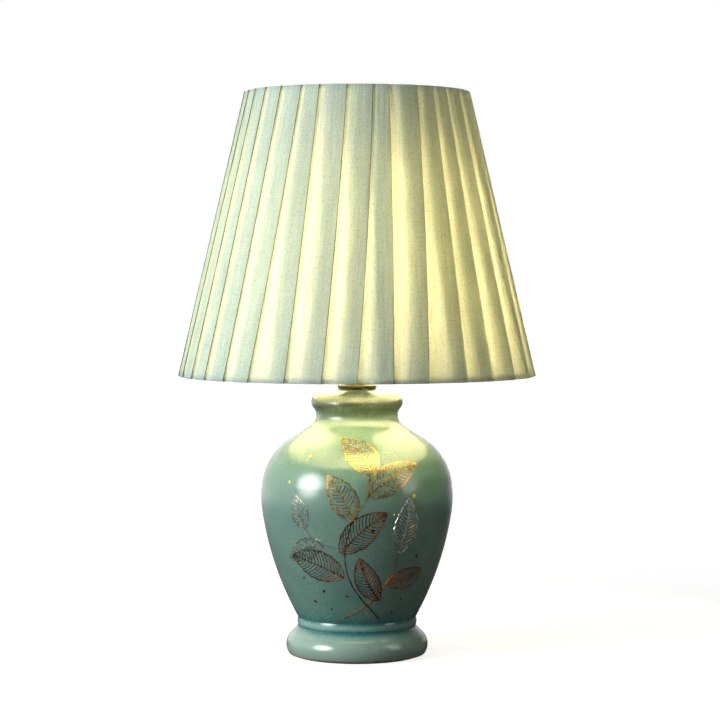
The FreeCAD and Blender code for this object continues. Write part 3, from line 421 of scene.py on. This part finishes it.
shade_corner, shade_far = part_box("pleated_cover")
SHADE_LOW, SHADE_HIGH = shade_corner.z, shade_far.z
SHADE_RADIUS_LOW, SHADE_RADIUS_HIGH = 0.140, 0.0883
SLANT = math.hypot(SHADE_HIGH - SHADE_LOW, SHADE_RADIUS_LOW - SHADE_RADIUS_HIGH)
# Where the folds in front stand at each rim, in degrees from the front to the right.
FOLDS_LOW = [
    -73.9, -64.4, -55.2, -45.4, -35.2, -22.4, -10.7, 0.06, 11.1, 22.2, 35.7, 46.3, 58.7, 70.7,
]
FOLDS_HIGH = [
    -70.6, -61.5, -51.7, -40.3, -28.1, -18.5, -4.8, 7.8, 15.6, 30.5, 39.9, 49.3, 60.8, 73.8,
]
PLEATS = 32
PLEAT_CLOTH = 0.064  # width of cloth in one pleat
RIM_TURN = 0.0011  # cloth turned in over each rim
COMING_OUT_DEPTH = 0.0019  # of a pleat where it comes out from under the one before
LAP_RISE = 0.0013  # as it lies over its own hidden layers
OUTER_LAYER_DEPTH, INNER_LAYER_DEPTH = 0.00062, 0.0017  # of the hidden layers, at the fold
INNER_FOLD_DEPTH = 0.00155
SOFT_END = 0.94  # how clear the cloth is at the inner fold, so that no line shows there
# Places across a pleat's seen part and its hidden part, closer where it bends.
TOP_SHARES = [
    0, 0.025, 0.07, 0.13, 0.2, 0.27, 0.34, 0.41, 0.48, 0.55, 0.62, 0.69, 0.76, 0.83, 0.9, 0.95,
    0.982,
]
UNDER_SHARES = [0.0, 0.12, 0.3, 0.45, 0.55, 0.65, 0.74, 0.82, 0.9, 1.0]
# The rows of points up the cloth, from rim to rim with the turned-in edges.
LIFT = np.concatenate([[0.0], np.linspace(0.0, 1.0, 44), [1.0]])
ROWS = len(LIFT)
ROW_RADIUS = SHADE_RADIUS_LOW + (SHADE_RADIUS_HIGH - SHADE_RADIUS_LOW) * LIFT
ZEROS = np.zeros(ROWS)


def every_fold(seen, seed):
    """The folds in front, then even ones round the back, each a little out."""
    hidden = PLEATS - len(seen)
    gap = (360 + seen[0] - seen[-1]) / (hidden + 1)
    shifts = np.random.default_rng(seed).uniform(-0.7, 0.7, hidden)
    behind = [seen[-1] + gap * (k + 1) + shifts[k] for k in range(hidden)]
    return np.radians(np.array(list(seen) + behind) - 90.0)


def pleat(before, fold, rng):
    """Columns of points over one pleat to its fold, back under it and forward again. Each has
    its angle, depth, soft end and crease (the fold's line of painted shade) for every row."""
    pitch = (fold - before) * ROW_RADIUS
    sway = rng.uniform(-0.0012, 0.0012) * np.sin(LIFT * rng.uniform(2, 5) + rng.uniform(0, 6))
    cloth = PLEAT_CLOTH + rng.uniform(-0.003, 0.003)
    hidden = np.clip((cloth - pitch) / 2 + sway, 0.2 * pitch, 0.95 * pitch)
    start = 1 - hidden / pitch
    fade = 0.60 - 0.12 * LIFT
    slack = rng.uniform(0.6, 1.3)
    wave = rng.uniform(0, 2 * math.pi)
    ripples = rng.uniform(0, 2 * math.pi, 3)
    columns = []
    for share in TOP_SHARES:
        over = blend_over(share, start - 0.10, start + 0.22)
        belly = 0.00045 * slack * math.sin(math.pi * share) * (1.2 + np.sin(LIFT * 5 + wave))
        belly += 0.00012 * np.sin(share * 19 + ripples[0] + np.sin(LIFT * 6 + ripples[1]))
        rise = over * LAP_RISE * (0.75 + 0.25 * share)
        depth = COMING_OUT_DEPTH - 0.0006 * share - rise - belly
        columns.append((before + (fold - before) * share, np.maximum(depth, 0.0), ZEROS, ZEROS))
    # The fold's edge: these two columns carry the crease mark, a thin line of painted shade.
    columns.append((fold, ZEROS, ZEROS, ZEROS + 0.9))
    columns.append((fold + 0.0002 / ROW_RADIUS, ZEROS + 0.0003, ZEROS, ZEROS + 1.0))

    def add_under(share, depth):
        soft = SOFT_END * blend_over(share, 1 - fade, 1.0)
        columns.append((fold - hidden * share / ROW_RADIUS, ZEROS + depth, soft, ZEROS))

    for share in UNDER_SHARES:
        add_under(share, OUTER_LAYER_DEPTH + 0.0005 * share)
    inner_fold = fold - (hidden + 0.0003) / ROW_RADIUS
    columns.append((inner_fold, ZEROS + INNER_FOLD_DEPTH, ZEROS + SOFT_END, ZEROS))
    for share in reversed(UNDER_SHARES[1:]):
        add_under(share, INNER_LAYER_DEPTH + 0.0004 * share)
    return columns


def along_cloth(angles, depths):
    """How far along the cloth each column is at the middle row, and the first once more."""
    middle = ROWS // 2
    angle = np.append(angles[:, middle], angles[0, middle] + 2 * math.pi)
    depth = np.append(depths[:, middle], depths[0, middle])
    steps = np.hypot(np.diff(angle) * ROW_RADIUS[middle], np.diff(depth))
    return np.concatenate([[0.0], np.cumsum(steps)])


def pleated_cover():
    """The knife-pleated cloth, one long strip round the shade."""
    low, high = every_fold(FOLDS_LOW, 3), every_fold(FOLDS_HIGH, 5)
    rng = np.random.default_rng(11)
    columns = []
    for k in range(PLEATS):
        before = low[k - 1] + (high[k - 1] - low[k - 1]) * LIFT
        fold = low[k] + (high[k] - low[k]) * LIFT
        if k == 0:
            before = before - 2 * math.pi
        columns += pleat(before, fold, rng)
    angles, depths, soft_ends, creases = (np.array(values) for values in zip(*columns))
    height = SHADE_LOW + 0.0004 + (SHADE_HIGH - SHADE_LOW - 0.0008) * LIFT
    height[0], height[-1] = SHADE_LOW, SHADE_HIGH
    tuck = np.zeros(ROWS)
    tuck[0] = tuck[-1] = RIM_TURN
    reach = ROW_RADIUS - depths - tuck
    heights = np.broadcast_to(height, reach.shape)
    points = np.stack([reach * np.cos(angles), reach * np.sin(angles), heights], -1)
    places = along_cloth(angles, depths)
    count = len(columns)
    faces, uvs = [], []
    for c in range(count):
        for r in range(ROWS - 1):
            a, b = c * ROWS + r, ((c + 1) % count) * ROWS + r
            faces.append((a, b, b + 1, a + 1))
            v0, v1 = LIFT[r] * SLANT, LIFT[r + 1] * SLANT
            uvs += [(places[c], v0), (places[c + 1], v0), (places[c + 1], v1), (places[c], v1)]
    cover = new_piece("pleated_cloth", points.reshape(-1, 3), faces, CLOTH, uvs)
    set_values(cover, "soft_end", soft_ends)
    # The crease values mark each fold for its line of painted shade.
    set_values(cover, "crease", creases)
    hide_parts("pleated_cover")
    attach(cover, "shade")


SEAM_HALF, SEAM_DEPTH = 0.0030, 0.00012
SEAM_TURN = 8.0  # degrees to the right of the front


def liner_seam():
    """The glued overlap of the liner's film, up the cone a little right of the front."""
    low_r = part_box("shade_liner")[1].x + SEAM_DEPTH / 2
    high_r = low_r + SHADE_RADIUS_HIGH - SHADE_RADIUS_LOW
    turn = math.radians(SEAM_TURN - 90.0)
    rows, points, soft = 24, [], []
    across = [-1.0, -0.5, 0.0, 0.5, 1.0]
    ring = [(x, 0.0) for x in across] + [(x, SEAM_DEPTH) for x in reversed(across)]
    for k in range(rows):
        share = k / (rows - 1)
        radius = low_r + (high_r - low_r) * share
        height = SHADE_LOW + 0.001 + (SHADE_HIGH - SHADE_LOW - 0.002) * share
        for x, out in ring:
            angle, reach = turn + x * SEAM_HALF / radius, radius + out
            points.append((reach * math.cos(angle), reach * math.sin(angle), height))
            soft.append(abs(x) * 0.9)
    count, end = len(ring), (rows - 1) * len(ring)
    faces = grid_faces(rows, count, around=True)
    faces += [tuple(reversed(range(count))), tuple(range(end, end + count))]
    seam = new_piece("liner_seam", points, faces, SEAM)
    set_values(seam, "soft_end", soft)
    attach(seam, "shade")


TAPE_LEG = 0.0019  # how far the tape goes in above and below its ring


def rim_tape(rim):
    """Cloth tape folded over the outer half of a rim ring."""
    corner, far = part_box(rim + "_rim_tape")
    outside, reach = (far.z - corner.z) / 2 - 0.00015, far.x
    middle = (far.z + corner.z) / 2
    centre = reach - outside
    bend = np.linspace(-math.pi / 2, math.pi / 2, 11)
    profile = [(-TAPE_LEG, -outside), (-TAPE_LEG / 2, -outside)]
    profile += [(outside * math.cos(a), outside * math.sin(a)) for a in bend]
    profile += [(-TAPE_LEG / 2, outside), (-TAPE_LEG, outside)]
    steps_along = [math.dist(a, b) for a, b in zip(profile, profile[1:])]
    lengths = np.concatenate([[0.0], np.cumsum(steps_along)])
    steps = 240
    rng = np.random.default_rng(7)
    wander = rng.uniform(-0.00008, 0.00008, steps)
    points, faces, uvs = [], [], []
    for s in range(steps):
        angle = 2 * math.pi * s / steps
        for out, up in profile:
            radius = centre + out + (wander[s] if out <= 0 else -abs(wander[s]))
            points.append((radius * math.cos(angle), radius * math.sin(angle), middle + up))
    count = len(profile)
    arc = 2 * math.pi * centre / steps
    for s in range(steps):
        for k in range(count - 1):
            a, b = s * count + k, ((s + 1) % steps) * count + k
            faces.append((a, b, b + 1, a + 1))
            uvs += [(s * arc, lengths[k]), ((s + 1) * arc, lengths[k])]
            uvs += [((s + 1) * arc, lengths[k + 1]), (s * arc, lengths[k + 1])]
    tape = new_piece(rim + "_tape_cloth", points, faces, TAPE, uvs)
    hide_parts(rim + "_rim_tape")
    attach(tape, "shade")


def felt_disc():
    """The felt glued under the foot, with a soft edge."""
    corner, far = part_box("felt_pad")
    reach, top = far.x - 0.0002, far.z
    under = [(0.02, 0.0), (0.04, 0.0), (reach - 0.0012, 0.0), (reach - 0.0003, 0.00015)]
    edge = [(reach, 0.0005), (reach - 0.0001, 0.0009), (reach - 0.0006, top - 0.00004)]
    rings = under + edge + [(0.04, top)]
    steps = 120
    rng = np.random.default_rng(17)
    fuzz = rng.uniform(-0.00018, 0.00018, steps)
    points = [(0.0, 0.0, 0.0), (0.0, 0.0, top)]
    for out, up in rings:
        for s in range(steps):
            angle = 2 * math.pi * s / steps
            radius = out + (fuzz[s] if out > 0.045 else 0.0)
            points.append((radius * math.cos(angle), radius * math.sin(angle), up))
    faces = [tuple(2 + i for i in face) for face in grid_faces(len(rings), steps, around=True)]
    last = 2 + (len(rings) - 1) * steps
    for s in range(steps):
        faces.append((0, 2 + (s + 1) % steps, 2 + s))
        faces.append((1, last + s, last + (s + 1) % steps))
    disc = new_piece("felt_disc", points, faces, FINISHES["felt"])
    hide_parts("felt_pad")
    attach(disc, "lamp")


pleated_cover()
liner_seam()
rim_tape("top")
rim_tape("bottom")
felt_disc()


# Foil leaves on the jar --------------------------------------------------------------------

FOIL_LIFT, FOIL_ROOT = 0.00012, -0.00012  # the foil's face and its root in the glaze
FOIL_RAILS = ((-0.5, FOIL_ROOT), (-0.36, FOIL_LIFT), (0.36, FOIL_LIFT), (0.5, FOIL_ROOT))
BOARD_LOW, BOARD_HIGH = 0.0300, 0.1900  # heights on the jar
FLECK_SIDES = 8
# A leaf's lines in millimetres, from the stalk to the tip, and the veins' spacing.
MIDRIB_WIDTHS, MARGIN_WIDTHS, VEIN_WIDTHS = (1.3, 0.7), (0.9, 1.05, 0.8), (0.85, 0.7)
VEIN_SPACING = 2.9


class JarFront:
    """The jar's outside as a flat drawing board: millimetres to the right of the front line, and
    millimetres up along the surface from the crease above the foot."""

    def __init__(self):
        jar = nodes["ceramic_jar"].data
        corners = [v.co for v in jar.vertices]
        tree = BVHTree.FromPolygons(corners, [p.vertices for p in jar.polygons])
        self.heights = np.linspace(BOARD_LOW, BOARD_HIGH, 321)
        radii = []
        for z in self.heights:
            reached = 0.0
            for turn in np.radians(np.linspace(-4, 4, 7)):
                away = Vector((math.sin(turn), -math.cos(turn), 0.0))
                hit = tree.ray_cast(away * 0.2 + Vector((0, 0, z)), -away)[0]
                reached = max(reached, math.hypot(hit.x, hit.y))
            radii.append(reached)
        self.radii = np.array(radii)
        steps = np.hypot(np.diff(self.heights), np.diff(self.radii))
        self.along = np.concatenate([[0.0], np.cumsum(steps)])
        self.slopes = np.gradient(self.radii, self.heights)

    def lay(self, flat, lift):
        """Points on the board to points in space, lifted off the glaze."""
        flat = np.asarray(flat, float)
        up = flat[:, 1] * MM
        height = np.interp(up, self.along, self.heights)
        radius = np.interp(height, self.heights, self.radii)
        slope = np.interp(height, self.heights, self.slopes)
        turn = flat[:, 0] * MM / radius
        tilt = 1 / np.sqrt(1 + slope**2)
        reach = radius + lift * tilt
        top = height - lift * slope * tilt
        return np.stack([reach * np.sin(turn), -reach * np.cos(turn), top], 1)


class Foil:
    """Thin raised lines and flecks of one metal."""

    def __init__(self, board):
        self.board, self.points, self.faces = board, [], []

    def line(self, path, widths):
        path = np.asarray(path, float)
        widths = np.broadcast_to(np.asarray(widths, float), (len(path),))[:, None]
        run = np.gradient(path, axis=0)
        run /= np.maximum(np.linalg.norm(run, axis=1, keepdims=True), 1e-9)
        side = np.stack([run[:, 1], -run[:, 0]], 1)
        rails = [self.board.lay(path + side * widths * share, lift) for share, lift in FOIL_RAILS]
        start, count = len(self.points), len(path)
        self.points += list(np.stack(rails, 1).reshape(-1, 3))
        self.faces += [tuple(start + i for i in face) for face in grid_faces(count, 4, around=True)]
        end = start + (count - 1) * 4
        self.faces += [(start + 3, start + 2, start + 1, start), (end, end + 1, end + 2, end + 3)]

    def fleck(self, place, size, seed):
        rng = np.random.default_rng(seed)
        sides = FLECK_SIDES
        turns = np.linspace(0, 2 * math.pi, sides + 1)[:-1] + rng.uniform(-0.25, 0.25, sides)
        reach = size / 2 * rng.uniform(0.7, 1.15, sides)
        rim = np.stack([reach * np.cos(turns) * rng.uniform(0.7, 1.3), reach * np.sin(turns)], 1)
        rings = [
            self.board.lay(np.asarray(place) + rim * share, lift)
            for share, lift in ((1.0, FOIL_ROOT), (0.86, FOIL_LIFT))
        ]
        start = len(self.points)
        self.points += [*rings[0], *rings[1]]
        self.faces += [tuple(start + i for i in face) for face in grid_faces(2, sides, around=True)]
        top = start + sides
        self.faces += [tuple(range(top, top + sides)), tuple(range(top - 1, start - 1, -1))]

    def build(self, name, material):
        piece = new_piece(name, self.points, self.faces, material)
        piece.data.set_sharp_from_angle(angle=math.radians(30))
        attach(piece, "lamp")


CURVE_STEPS = 40


def bezier(*knots):
    """A smooth curve through control points, as many small steps."""
    t = np.linspace(0, 1, CURVE_STEPS)[:, None]
    points = [np.broadcast_to(np.asarray(k, float), (CURVE_STEPS, 2)) for k in knots]
    while len(points) > 1:
        points = [a + (b - a) * t for a, b in zip(points, points[1:])]
    return points[0]


def leaf(foil, base, heading, length, width, bend):
    """A slender pointed leaf: margin, midrib and side veins that curve up to the margin."""
    t = np.linspace(0, 1, 61)
    turn = math.radians(heading) + math.radians(bend) * (t - 0.5)
    run = np.stack([np.cos(turn), np.sin(turn)], 1)
    steps = (run[1:] + run[:-1]) / 2 * length / 60
    axis = np.asarray(base, float) + np.concatenate([[[0, 0]], np.cumsum(steps, 0)])
    side = np.stack([run[:, 1], -run[:, 0]], 1)
    half = t**0.75 * (1 - t) ** 0.95
    half *= width / 2 / half.max()

    def at(values, share):
        return np.stack([np.interp(share, t, values[:, k]) for k in (0, 1)], -1)

    foil.line(axis, np.interp(t, [0, 1], MIDRIB_WIDTHS))
    for sign in (-1, 1):
        wavy = 1 + 0.03 * np.sin(t * 40 + sign)
        margin = axis + side * (sign * half * wavy)[:, None]
        foil.line(margin, np.interp(t, [0, 0.5, 1], MARGIN_WIDTHS))
        for share in np.arange(0.05, 0.90, VEIN_SPACING / length):
            reach = 0.20 - 0.10 * share
            end = min(share + reach, 0.985)
            first = at(axis, share)
            last = at(axis, end) + at(side, end) * sign * np.interp(end, t, half)
            bow = share + 0.30 * reach
            control = at(axis, bow) + at(side, bow) * sign * np.interp(bow, t, half) * 0.55
            s = np.linspace(0, 1, 9)[:, None]
            path = first * (1 - s) ** 2 + control * 2 * s * (1 - s) + last * s**2
            foil.line(path, np.linspace(*VEIN_WIDTHS, 9))


def foil_leaves():
    """A spray of leaves on two stems, with flecks round it."""
    board = JarFront()
    gold, bronze, silver = Foil(board), Foil(board), Foil(board)
    # Stems, from the bottom up, with their widths at the two ends.
    for foil, thick, thin, knots in (
        (bronze, 1.3, 0.8, ((17, 5), (8, 20), (-16, 38), (-12, 66), (-3, 88))),
        (gold, 0.8, 0.6, ((-3, 88), (2, 100), (14, 106), (12, 122))),
        (bronze, 1.1, 0.7, ((-16, 3), (-2, 10), (20, 20), (26, 42), (33, 62))),
        (silver, 0.8, 0.6, ((-11, 62), (-22, 70), (-34, 68), (-41, 81))),
    ):
        foil.line(bezier(*knots), np.linspace(thick, thin, CURVE_STEPS))
    # Leaves: foot, heading, length, width and bend.
    for foil, base, heading, length, width, bend in (
        (gold, (12, 122), 122, 46, 23, 28),
        (gold, (7, 106), 30, 50, 22, -24),
        (gold, (-3, 88), 120, 40, 21, 24),
        (silver, (-41, 81), 110, 27, 15, -22),
        (silver, (-26, 69), 204, 36, 17, 24),
        (silver, (33, 62), 78, 44, 20, 24),
        (bronze, (-12, 62), 42, 48, 22, -24),
        (bronze, (-10, 42), 160, 48, 23, 20),
        (bronze, (24, 36), 20, 34, 16, 24),
        (bronze, (17, 22), 112, 40, 18, -24),
    ):
        leaf(foil, base, heading, length, width, bend)
    # Flecks: place and size.
    flecks = [
        (gold, (-38, 138), 3.4), (gold, (-57, 116), 2.6), (gold, (46, 106), 3.2),
        (gold, (30, 132), 2.4), (gold, (-8, 136), 2.2), (silver, (-52, 62), 2.4),
        (silver, (54, 86), 2.6), (bronze, (4, 50), 3.6), (bronze, (-26, 30), 3.6),
        (bronze, (46, 42), 3.8), (bronze, (36, 22), 3.0), (bronze, (-34, 20), 3.2),
        (bronze, (-8, 26), 2.6), (bronze, (28, 10), 2.8), (bronze, (-20, 14), 2.4),
        (bronze, (12, 80), 3.0), (bronze, (20, 88), 2.4), (bronze, (-44, 40), 2.8),
        (gold, (30, 92), 2.8), (bronze, (50, 58), 3.0),
    ]
    for seed, (foil, place, size) in enumerate(flecks):
        foil.fleck(place, size, seed)
    gold.build("foil_leaves_gold", GOLD)
    bronze.build("foil_leaves_bronze", BRONZE)
    silver.build("foil_leaves_silver", SILVER)


foil_leaves()


# Stage, lights and camera ------------------------------------------------------------------

LAMP_MIDDLE = Vector((0.0, 0.0, 0.20))
LIGHT_DISTANCE = 1.6
FLOOR_REACH = 12.0
WHITE = (1, 1, 1, 1)
BRIGHT_SIDE = (-0.62, 0.78, 0.0)  # of the room, as glaze and glass see it
FILL_SIDE = (-1.0, -0.1, -0.1)  # where most of the soft fill comes from
BULB_POWER = 15.0
# Brightness of the bulb by direction, from straight down at 0 to straight up at 1.
BULB_LEVELS = (
    (0.0, 0.012), (0.05, 0.03), (0.14, 0.30), (0.22, 1.0), (0.5, 0.66), (0.85, 0.44), (1.0, 0.2),
)
# The camera stands in front of the shade and looks down a little, in degrees.
EYE = (0.00235, -1.81, 0.3055)
EYE_TILT = 2.335
EYE_LENS = 115.4  # millimetres


def room_light(g, way):
    """How bright the room looks in glaze and glass: white behind and to the left, dim in front."""
    behind = g("VectorMath", {0: way, 1: BRIGHT_SIDE}, 1, operation="DOT_PRODUCT")
    return g.spread(behind, -0.05, 0.85, 0.07, 1.0)


def floor():
    """Pale floor: white far off to the eye, and dim near the lamp in the glaze."""
    g = new_graph("pale_floor")
    cloud = g.noise(g.place(), 3.0, 2.0)
    pale = g("BsdfDiffuse", {"Color": g.mix(cloud, tint(168, 168, 166), tint(174, 174, 172))})
    dim = g("BsdfDiffuse", {"Color": g.mix(cloud, tint(98, 98, 97), tint(104, 104, 103))})
    away = g("VectorMath", {0: g.place()}, 1, operation="LENGTH")
    way = g("VectorMath", {0: g.place()}, 0, operation="NORMALIZE")
    glow = g("Emission", {"Color": WHITE, "Strength": g.spread(away, 0.2, 1.6, 0.80, 1.0)})
    seen = g("AddShader", {0: pale, 1: glow})
    far = g.maths("MULTIPLY", g.spread(away, 0.15, 1.8), room_light(g, way))
    mirrored = g("AddShader", {0: dim, 1: g("Emission", {"Color": WHITE, "Strength": far})})
    eye, gloss = (g("LightPath", out=name) for name in ("Is Camera Ray", "Is Glossy Ray"))
    unseen = g("MixShader", {0: gloss, 1: dim, 2: mirrored})
    g.finish(g("MixShader", {0: eye, 1: unseen, 2: seen}))
    reach = FLOOR_REACH
    points = [(-reach, -reach, 0), (reach, -reach, 0), (reach, reach, 0), (-reach, reach, 0)]
    piece = new_piece("floor", points, [(0, 1, 2, 3)], g.owner)


def soft_light(name, shape, away, size, power, colour=(1, 1, 1), height=None, fall=0.0):
    """An area light in a direction from the lamp's middle; fall dims it towards its edge."""
    data = bpy.data.lights.new(name, "AREA")
    data.shape = shape
    data.size = size
    if height:
        data.size_y = height
    data.energy = power
    data.color = colour
    if fall:
        g = Graph(data)
        spot = g("NewGeometry", out=5)
        middle = g("VectorMath", {0: spot, 1: (0.5, 0.5, 0.0)}, 1, operation="DISTANCE")
        g.finish(g("Emission", {"Strength": g.spread(middle, 0.5 - fall, 0.5, 1.0, 0.0)}))
    light = bpy.data.objects.new(name, data)
    bpy.context.scene.collection.objects.link(light)
    away = Vector(away).normalized()
    light.location = LAMP_MIDDLE + away * LIGHT_DISTANCE
    light.rotation_mode = "QUATERNION"
    light.rotation_quaternion = away.to_track_quat("Z", "Y")
    light.visible_camera = False


def bulb_light():
    """The filaments' light: bright to the sides and the shade's right, faint on the jar below."""
    data = bpy.data.lights.new("bulb_glow", "POINT")
    data.energy = BULB_POWER
    data.color = tint(255, 227, 186)[:3]
    data.shadow_soft_size = 0.010
    g = Graph(data)
    way = g("TexCoord", out=1)
    side, up = (g("SeparateXYZ", {0: way}, k) for k in (0, 2))
    level = g.ramp(g.maths("MULTIPLY_ADD", up, 0.5, 0.5), *BULB_LEVELS)
    uneven = g.maths("MULTIPLY_ADD", side, 0.2, 0.8)
    g.finish(g("Emission", {"Strength": g.maths("MULTIPLY", level, uneven)}))
    light = bpy.data.objects.new("bulb_glow", data)
    bpy.context.scene.collection.objects.link(light)
    low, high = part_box("filaments")
    light.location = (low + high) / 2
    light.visible_camera = False
    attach(light, "bulb")


def backdrop():
    """White to the eye, the dim room to glaze and glass, and a soft fill from the left."""
    world = bpy.data.worlds.new("studio")
    bpy.context.scene.world = world
    g = Graph(world)
    way = g("TexCoord", out=0)
    left = g("VectorMath", {0: way, 1: FILL_SIDE}, 1, operation="DOT_PRODUCT")
    fill = g.spread(left, -0.1, 1.0, 0.06, 0.85)
    soft = g("Background", {"Color": (0.90, 0.98, 1.0, 1.0), "Strength": fill})
    room = g("Background", {"Color": WHITE, "Strength": room_light(g, way)})
    white = g("Background", {"Color": WHITE, "Strength": 1.0})
    rays = ("Is Camera Ray", "Is Glossy Ray", "Is Transmission Ray")
    eye, gloss, sent = (g("LightPath", out=name) for name in rays)
    mirrored = g.maths("MAXIMUM", gloss, sent)
    unseen = g("MixShader", {0: mirrored, 1: soft, 2: room})
    g.finish(g("MixShader", {0: eye, 1: unseen, 2: white}))


def camera():
    data = bpy.data.cameras.new("camera")
    data.sensor_width = 36.0
    data.lens = EYE_LENS
    data.clip_end = 50.0
    eye = bpy.data.objects.new("camera", data)
    bpy.context.scene.collection.objects.link(eye)
    eye.location = EYE
    eye.rotation_euler = (math.radians(90 - EYE_TILT), 0.0, 0.0)
    bpy.context.scene.camera = eye


floor()
soft_light("key", "DISK", (-0.84, -0.50, 0.26), 1.4, 92.0, (0.98, 1.0, 1.0), fall=0.5)
soft_light("side_window", "RECTANGLE", (0.914, -0.407, 0.30), 0.62, 2.8, height=0.85)
bulb_light()
backdrop()
camera()
bpy.context.scene.view_settings.view_transform = "Standard"
